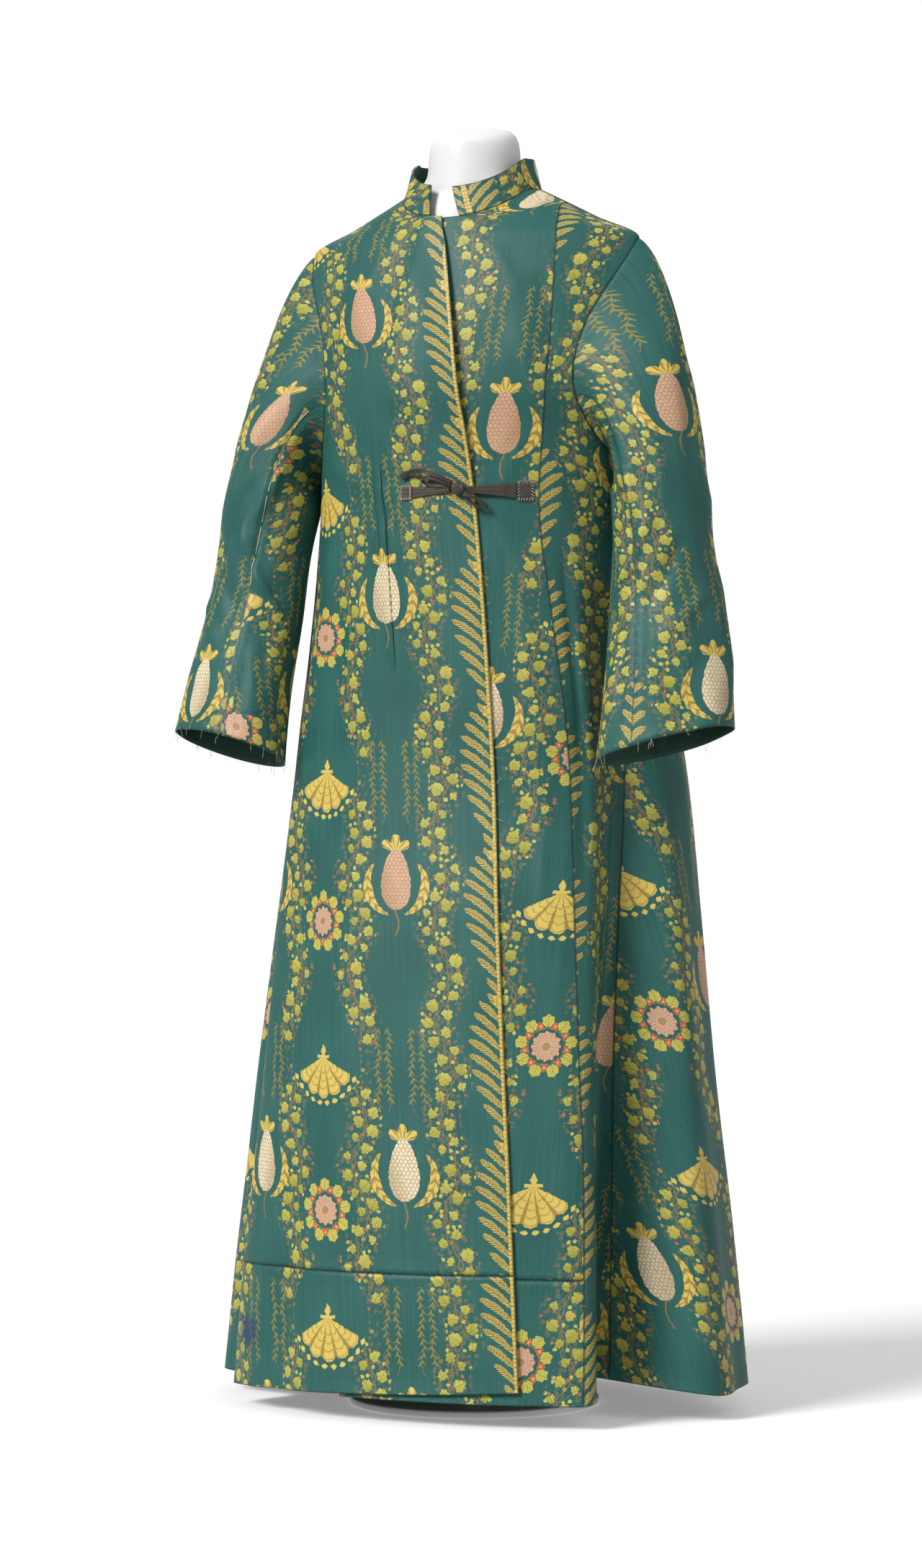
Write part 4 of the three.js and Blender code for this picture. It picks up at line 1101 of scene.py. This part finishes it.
# x, height, off the right front, width, lean in degrees
RIBBONS = {
    "tie_right": (
        (-20.8, 1015, 1.2, 13, 0), (-6, 1015.4, 1.2, 9, 0), (10, 1016, 1.8, 7, 0), (25.6, 1017, 3.6, 6, 0),
    ),
    "tie_left": (
        (44.4, 1017, 3.6, 6, 0), (52, 1016.6, 2.2, 7, 0), (60, 1016, 1.3, 9, 0), (78, 1015.4, -0.6, 12, 0),
        (97.2, 1015, -2.3, 17, 0),
    ),
    "tie_tail_left": (
        (29.9, 1024.3, 7.4, 4, 28), (9, 1034, 9.4, 4.4, 22), (-7, 1038.5, 8.4, 4.6, 8),
        (-21, 1037, 5.8, 5, -12), (-33, 1032, 3.4, 6, -20),
    ),
    "tie_loop_left": (
        (27.9, 1021.5, 5.9, 3.4, 25), (13, 1028.2, 6.8, 3.4, 25), (1, 1031, 6.4, 3.2, 22),
        (-6, 1027.6, 4.4, 3.2, 12), (1, 1023, 2.8, 3.2, 8), (13, 1021.6, 2.8, 3, 4),
        (22.6, 1022, 3.2, 3, 2),
    ),
    "tie_loop_right": (
        (40.8, 1012.4, 5.9, 3.4, -38), (52, 1008, 7, 3.4, -32), (61, 1003.4, 6.4, 3.2, -28),
        (67, 997.6, 4.2, 3.2, -25), (59, 996.6, 2.6, 3, -28), (51, 1001.4, 2.6, 2.8, -30),
        (44, 1008, 2.8, 2.5, -34),
    ),
}
# the tab's node, its x, width and height, how far its cloth is lifted, and that cloth
TABS = (
    ("tie_tab_right", -28, 13, 15, LAP_LIFT, "silk_right_front"),
    ("tie_tab_left", 106, 16, 20, 0, "silk_left_front"),
)


def over_front(x, z, off):
    x, z, off = (np.asarray(value, float) for value in (x, z, off))
    return cloth_point(turn_at(x, z), z, LAP_LIFT + off)


def ribbon_points(stations, steps=8, columns=13, pleats=2.5):
    table = np.array(stations, float)
    place = np.arange(len(table))
    fine = np.linspace(0, len(table) - 1, (len(table) - 1) * steps + 1)
    x, z, off, width, lean = (curve_through(place, table[:, column])(fine) for column in range(5))
    middle = over_front(x, z, off)
    tangent = unit(np.gradient(middle, axis=0))
    lean = np.radians(lean)
    upright = np.stack([np.sin(lean), np.zeros_like(lean), np.cos(lean)], -1)
    upright = unit(upright - tangent * (upright * tangent).sum(-1, keepdims=True))
    out = unit(np.cross(tangent, upright))
    share = np.linspace(-0.5, 0.5, columns)
    bunch = np.interp(width, (3, 17), (0.55, 0.18))
    pleat = bunch[:, None] * np.cos(share * np.pi * 2 * pleats + 0.4 * np.sin(fine * 2)[:, None])
    pleat = pleat - share ** 2
    aside = share * width[:, None]
    return middle[:, None] + upright[:, None] * aside[..., None] + out[:, None] * pleat[..., None]


# The knot is the crossing of the bow, with the ribbon wound twice round it.
KNOT_HALVES = (8, 4.2, 7.5)
knot_rows = np.linspace(-1.45, 1.45, 25)[:, None]
knot_rounds = np.arange(40) * np.pi / 20
swell = 1 + 0.09 * np.cos(knot_rows * 7) + 0.05 * np.sin(knot_rounds * 3 + knot_rows * 4)
knot_aside = KNOT_HALVES[0] * np.sin(knot_rows) * np.ones(40)
knot_in = KNOT_HALVES[1] * np.cos(knot_rows) * np.cos(knot_rounds) * swell
knot_high = KNOT_HALVES[2] * np.cos(knot_rows) * np.sin(knot_rounds) * swell
front_way = skin_normal(turn_at(KNOT_ACROSS, KNOT_UP), np.float64(KNOT_UP))
side_way = unit(np.cross((0, 0, 1), front_way))
knot_points = (
    over_front(KNOT_ACROSS, KNOT_UP, KNOT_OFF) - knot_aside[..., None] * side_way
    - knot_in[..., None] * front_way + knot_high[..., None] * (0, 0, 1)
)
knot_uv = np.stack(np.meshgrid(np.linspace(0, 10, 25), np.linspace(0, 20, 41), indexing="ij"), -1)
knot = cloth_mesh("ribbon_knot", knot_points, knot_uv, knot_uv, around=True)
bpy.context.view_layer.objects.active = knot
knot.select_set(True)
bpy.ops.object.mode_set(mode="EDIT")
bpy.ops.mesh.select_all(action="DESELECT")
bpy.ops.mesh.select_non_manifold()
bpy.ops.mesh.fill()
bpy.ops.mesh.select_all(action="SELECT")
bpy.ops.mesh.normals_make_consistent(inside=False)
bpy.ops.object.mode_set(mode="OBJECT")
knot.select_set(False)
dress(knot, "tie_knot", (ribbon_silk,))

for node, stations in RIBBONS.items():
    points = ribbon_points(stations)
    ribbon_uv = panel_uv(points, 0, 0, 0)
    ribbon = cloth_mesh(node.replace("tie", "ribbon"), points, ribbon_uv, edge_distances(points))
    thicken(ribbon, TIE_THICK, 0)
    ribbon.modifiers["thickness"].offset = 0
    dress(ribbon, node, (ribbon_silk,))
    long = float(run_lengths(points, 0)[-1, 6]) / 1000
    wide = float(run_lengths(points, 1)[:, -1].mean()) / 1000
    [knot] if node == "tie_right" else []

for node, x, width, tall, lift, under in TABS:
    share = np.linspace(-0.5, 0.5, 15)
    tab_x, tab_z = np.meshgrid(x + width * share, TIE_HEIGHT + tall * share)
    bulge = 1.9 + 0.35 * np.cos(share * 22)[:, None] + 0 * tab_x
    points = over_front(tab_x, tab_z, lift - LAP_LIFT + bulge)
    tab_uv = panel_uv(points, 0, 0, 0)[..., ::-1]
    tab = cloth_mesh(node.replace("tie", "ribbon"), points, tab_uv, edge_distances(points))
    thicken(tab, TAB_THICK, 0)
    dress(tab, node, (ribbon_silk,))
    width / 1000


# ---- Thread ---------------------------------------------------------------------------------------
# White sewing thread holds the tabs, in slanting stitches round their edges. Loose ends of silk have
# worked out along the front edge and at the wrists, and a pale selvage shows along one sleeve seam.
THREAD_DARK, THREAD_PALE = (0.42, 0.38, 0.28, 1), (0.72, 0.68, 0.56, 1)
STITCH_OFF, STITCH_SINK = 2.3, 1.7
STITCH_RADIUS, LOOSE_RADIUS, SELVAGE_RADIUS = 0.3, 0.16, 0.45
FRONT_ENDS, CUFF_ENDS, SELVAGE_ROWS = 16, 22, 7
sewing_thread, start = new_material("sewing_thread")
thread_colour = start.place().noise(900.0, 1.0).between(THREAD_DARK, THREAD_PALE)
finish_material(start, {"Base Color": thread_colour, "Roughness": 0.7})


def thread_mesh(name, paths, radius):
    """Thin three-sided strands along lists of points, joined in one mesh."""
    points, faces = [], []
    for path in paths:
        path = np.array(path)
        tangent = unit(np.gradient(path, axis=0))
        side = unit(np.cross(tangent, (0.31, 0.24, 0.92)))
        other = np.cross(tangent, side)
        first = len(points)
        for place, a, b in zip(path, side, other):
            for turn in (0, 2.09, 4.19):
                points.append(place + radius * (a * math.cos(turn) + b * math.sin(turn)))
        for ring in range(len(path) - 1):
            for corner in range(3):
                low, after = first + ring * 3 + corner, first + ring * 3 + (corner + 1) % 3
                faces.append((low, after, after + 3, low + 3))
        end = first + (len(path) - 1) * 3
        faces += [(first + 2, first + 1, first), (end, end + 1, end + 2)]
    dress(new_piece(name, points, faces), None, (sewing_thread,))


stitches = []
for _, x, width, tall, lift, _ in TABS:
    for step in np.linspace(-0.42, 0.42, 6):
        for edge in (-0.5, 0.5):
            aside, high = width * edge, tall * step
            at_side = (
                (aside * 1.12, high - 1.2, -STITCH_SINK),
                (aside, high, 0),
                (aside * 0.72, high + 1.5, 0),
            )
            aside, high = width * step, tall * edge
            at_end = (
                (aside - 0.8, high + edge * 2.2, -STITCH_SINK),
                (aside, high, 0),
                (aside + 0.8, high - edge * 4, 0),
            )
            for stitch in (at_side, at_end):
                stitches.append([
                    over_front(x + along, TIE_HEIGHT + up, lift - LAP_LIFT + STITCH_OFF + off)
                    for along, up, off in stitch
                ])
thread_mesh("tab_stitches", stitches, STITCH_RADIUS)

random = np.random.default_rng(7)
loose = []
for z in random.uniform(380, 1000, FRONT_ENDS):
    x = float(right_edge(z))
    path = [over_front(x - 1.5, z, 0.1)]
    way = random.uniform(-1, 1)
    for k in range(1, 7):
        aside = k * random.uniform(0.6, 1.5)
        path.append(over_front(x + aside, z - k * way * 1.3, 0.8 + 0.5 * math.sin(k)))
    loose.append(path)
for side in (1, -1):
    for k in random.integers(0, SLEEVE_COLUMNS, CUFF_ENDS):
        here = sleeve_shapes[side][-1, k] * (side, 1, 1)
        path = [here + (0, 0, 2.0), here]
        swing = random.uniform(-0.8, 0.8, 2)
        for step in range(1, 6):
            drop = step * random.uniform(0.8, 2.1)
            path.append(here + (swing[0] * step * 0.9, swing[1] * step * 0.9, -drop))
        loose.append(path)
thread_mesh("loose_ends", loose, LOOSE_RADIUS)

# The right sleeve's front seam shows the pale selvage of the silk along it, here and there.
right_sleeve = sleeve_shapes[-1][6:] * (-1, 1, 1)
seam_line = right_sleeve[:, 0] + unit(right_sleeve[:, 0] - right_sleeve.mean(1)) * 0.8
starts = range(0, len(seam_line) - 3, SELVAGE_ROWS)
selvage = [seam_line[first:first + SELVAGE_ROWS] for first in starts]
thread_mesh("sleeve_selvage", selvage, SELVAGE_RADIUS)


# ---- Dress form -----------------------------------------------------------------------------------
# A smooth white torso without arms, with a neck cut off on a slant. It is moulded in one piece, and
# carries the robe. Its finish is a dull, slightly uneven paint.
FORM_WHITE, FORM_PALE = (0.66, 0.655, 0.65, 1), (0.70, 0.695, 0.69, 1)
form_paint, start = new_material("form_paint")
grain = start.place().noise(220.0, 2.0)
mottle = start.place().noise(9.0, 2.0)
finish_material(start, {
    "Base Color": mottle.between(FORM_WHITE, FORM_PALE), "Roughness": grain * 0.1 + 0.5,
    "Normal": grain.bump(0.12, 0.0004),
})

cad_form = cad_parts["dress_form"]
form = cad_form.copy()
form.data = cad_form.data.copy()
form.name = "torso_form"
for key in list(form.keys()):
    del form[key]
bpy.context.collection.objects.link(form)
form.data.materials.clear()
bpy.context.view_layer.objects.active = form
form.select_set(True)
bpy.ops.object.mode_set(mode="EDIT")
bpy.ops.mesh.select_all(action="SELECT")
bpy.ops.mesh.remove_doubles(threshold=0.0001)
bpy.ops.mesh.tris_convert_to_quads(face_threshold=0.7, shape_threshold=0.7)
bpy.ops.object.mode_set(mode="OBJECT")
smoother = form.modifiers.new("smooth", "SUBSURF")
smoother.levels = smoother.render_levels = 2
bpy.ops.object.modifier_apply(modifier="smooth")
form.data.shade_smooth()
form.select_set(False)
dress(form, "dress_form", (form_paint,))


# ---- Stand ----------------------------------------------------------------------------------------
# A white-lacquered steel pole stands in a round steel base plate with an eased edge, and holds the form
# at the hips.
LACQUER_DULL, LACQUER_WHITE = (0.74, 0.74, 0.73, 1), (0.82, 0.82, 0.81, 1)
BASE_RADIUS, BASE_TOP, BASE_EASE = 0.14, 0.008, 0.0025
POLE_RADIUS, POLE_FOOT, POLE_TOP, POLE_EASE = 0.016, 0.0083, 0.6397, 0.001
stand_lacquer, start = new_material("stand_lacquer")
orange_peel = start.place().noise(400.0, 1.0)
scuffs = start.place().noise(40.0, 5.0)
finish_material(start, {
    "Base Color": scuffs.between(LACQUER_DULL, LACQUER_WHITE), "Roughness": scuffs * 0.2 + 0.25,
    "Normal": orange_peel.bump(0.1, 0.0003),
})


def turned_piece(name, node, radius, low, high, sides, ease):
    bpy.ops.mesh.primitive_cylinder_add(vertices=sides, radius=radius, depth=high - low)
    piece = bpy.context.object
    piece.name = name
    piece.data.transform(Matrix.Translation((0, 0, (low + high) / 2)))
    bevel = piece.modifiers.new("eased", "BEVEL")
    bevel.width, bevel.segments, bevel.limit_method = ease, 4, "ANGLE"
    bpy.ops.object.modifier_apply(modifier="eased")
    bpy.ops.object.shade_smooth_by_angle(angle=math.radians(40))
    piece.select_set(False)
    dress(piece, node, (stand_lacquer,))


turned_piece("stand_pole", "form_pole", POLE_RADIUS, POLE_FOOT, POLE_TOP, 48, POLE_EASE)
turned_piece("stand_base", "form_base", BASE_RADIUS, 0, BASE_TOP, 96, BASE_EASE)


# ---- Floor and light ------------------------------------------------------------------------------
# A plain pale floor. One large soft light stands to the camera's left, a wide one fills in from its
# right, and a faint one comes from behind. The floor glows a little, so that it meets the white room.
bpy.ops.mesh.primitive_plane_add(size=60)
floor = bpy.context.object
floor.name = "pale_floor"
floor_paint, start = new_material("floor_paint")
finish_material(start, {
    "Base Color": (0.7, 0.7, 0.7, 1), "Roughness": 0.9, "Specular IOR Level": 0.1,
    "Emission Color": (1, 1, 1, 1), "Emission Strength": 0.26,
})
floor.data.materials.append(floor_paint)
floor.visible_diffuse = False

for name, turn, rise, spread, strength in (
    ("key_light", -26, 38, 24, 3.6),
    ("fill_light", 74, 26, 80, 0.8),
    ("rim_light", 200, 30, 40, 0.4),
):
    bpy.ops.object.light_add(type="SUN", rotation=(math.radians(90 - rise), 0, math.radians(turn)))
    light = bpy.context.object
    light.name = name
    light.data.angle = math.radians(spread)
    light.data.energy = strength

world = bpy.data.worlds.new("studio")
bpy.context.scene.world = world
world.use_nodes = True
sky = world.node_tree.nodes["Background"]
sky.inputs["Color"].default_value = (1, 1, 1, 1)
# The camera sees white, and everything else is lit by a dimmer room.
seen = Value(world.node_tree).node("LightPath", {}, {}) * 0.64 + 0.36
world.node_tree.links.new(seen.socket, sky.inputs["Strength"])
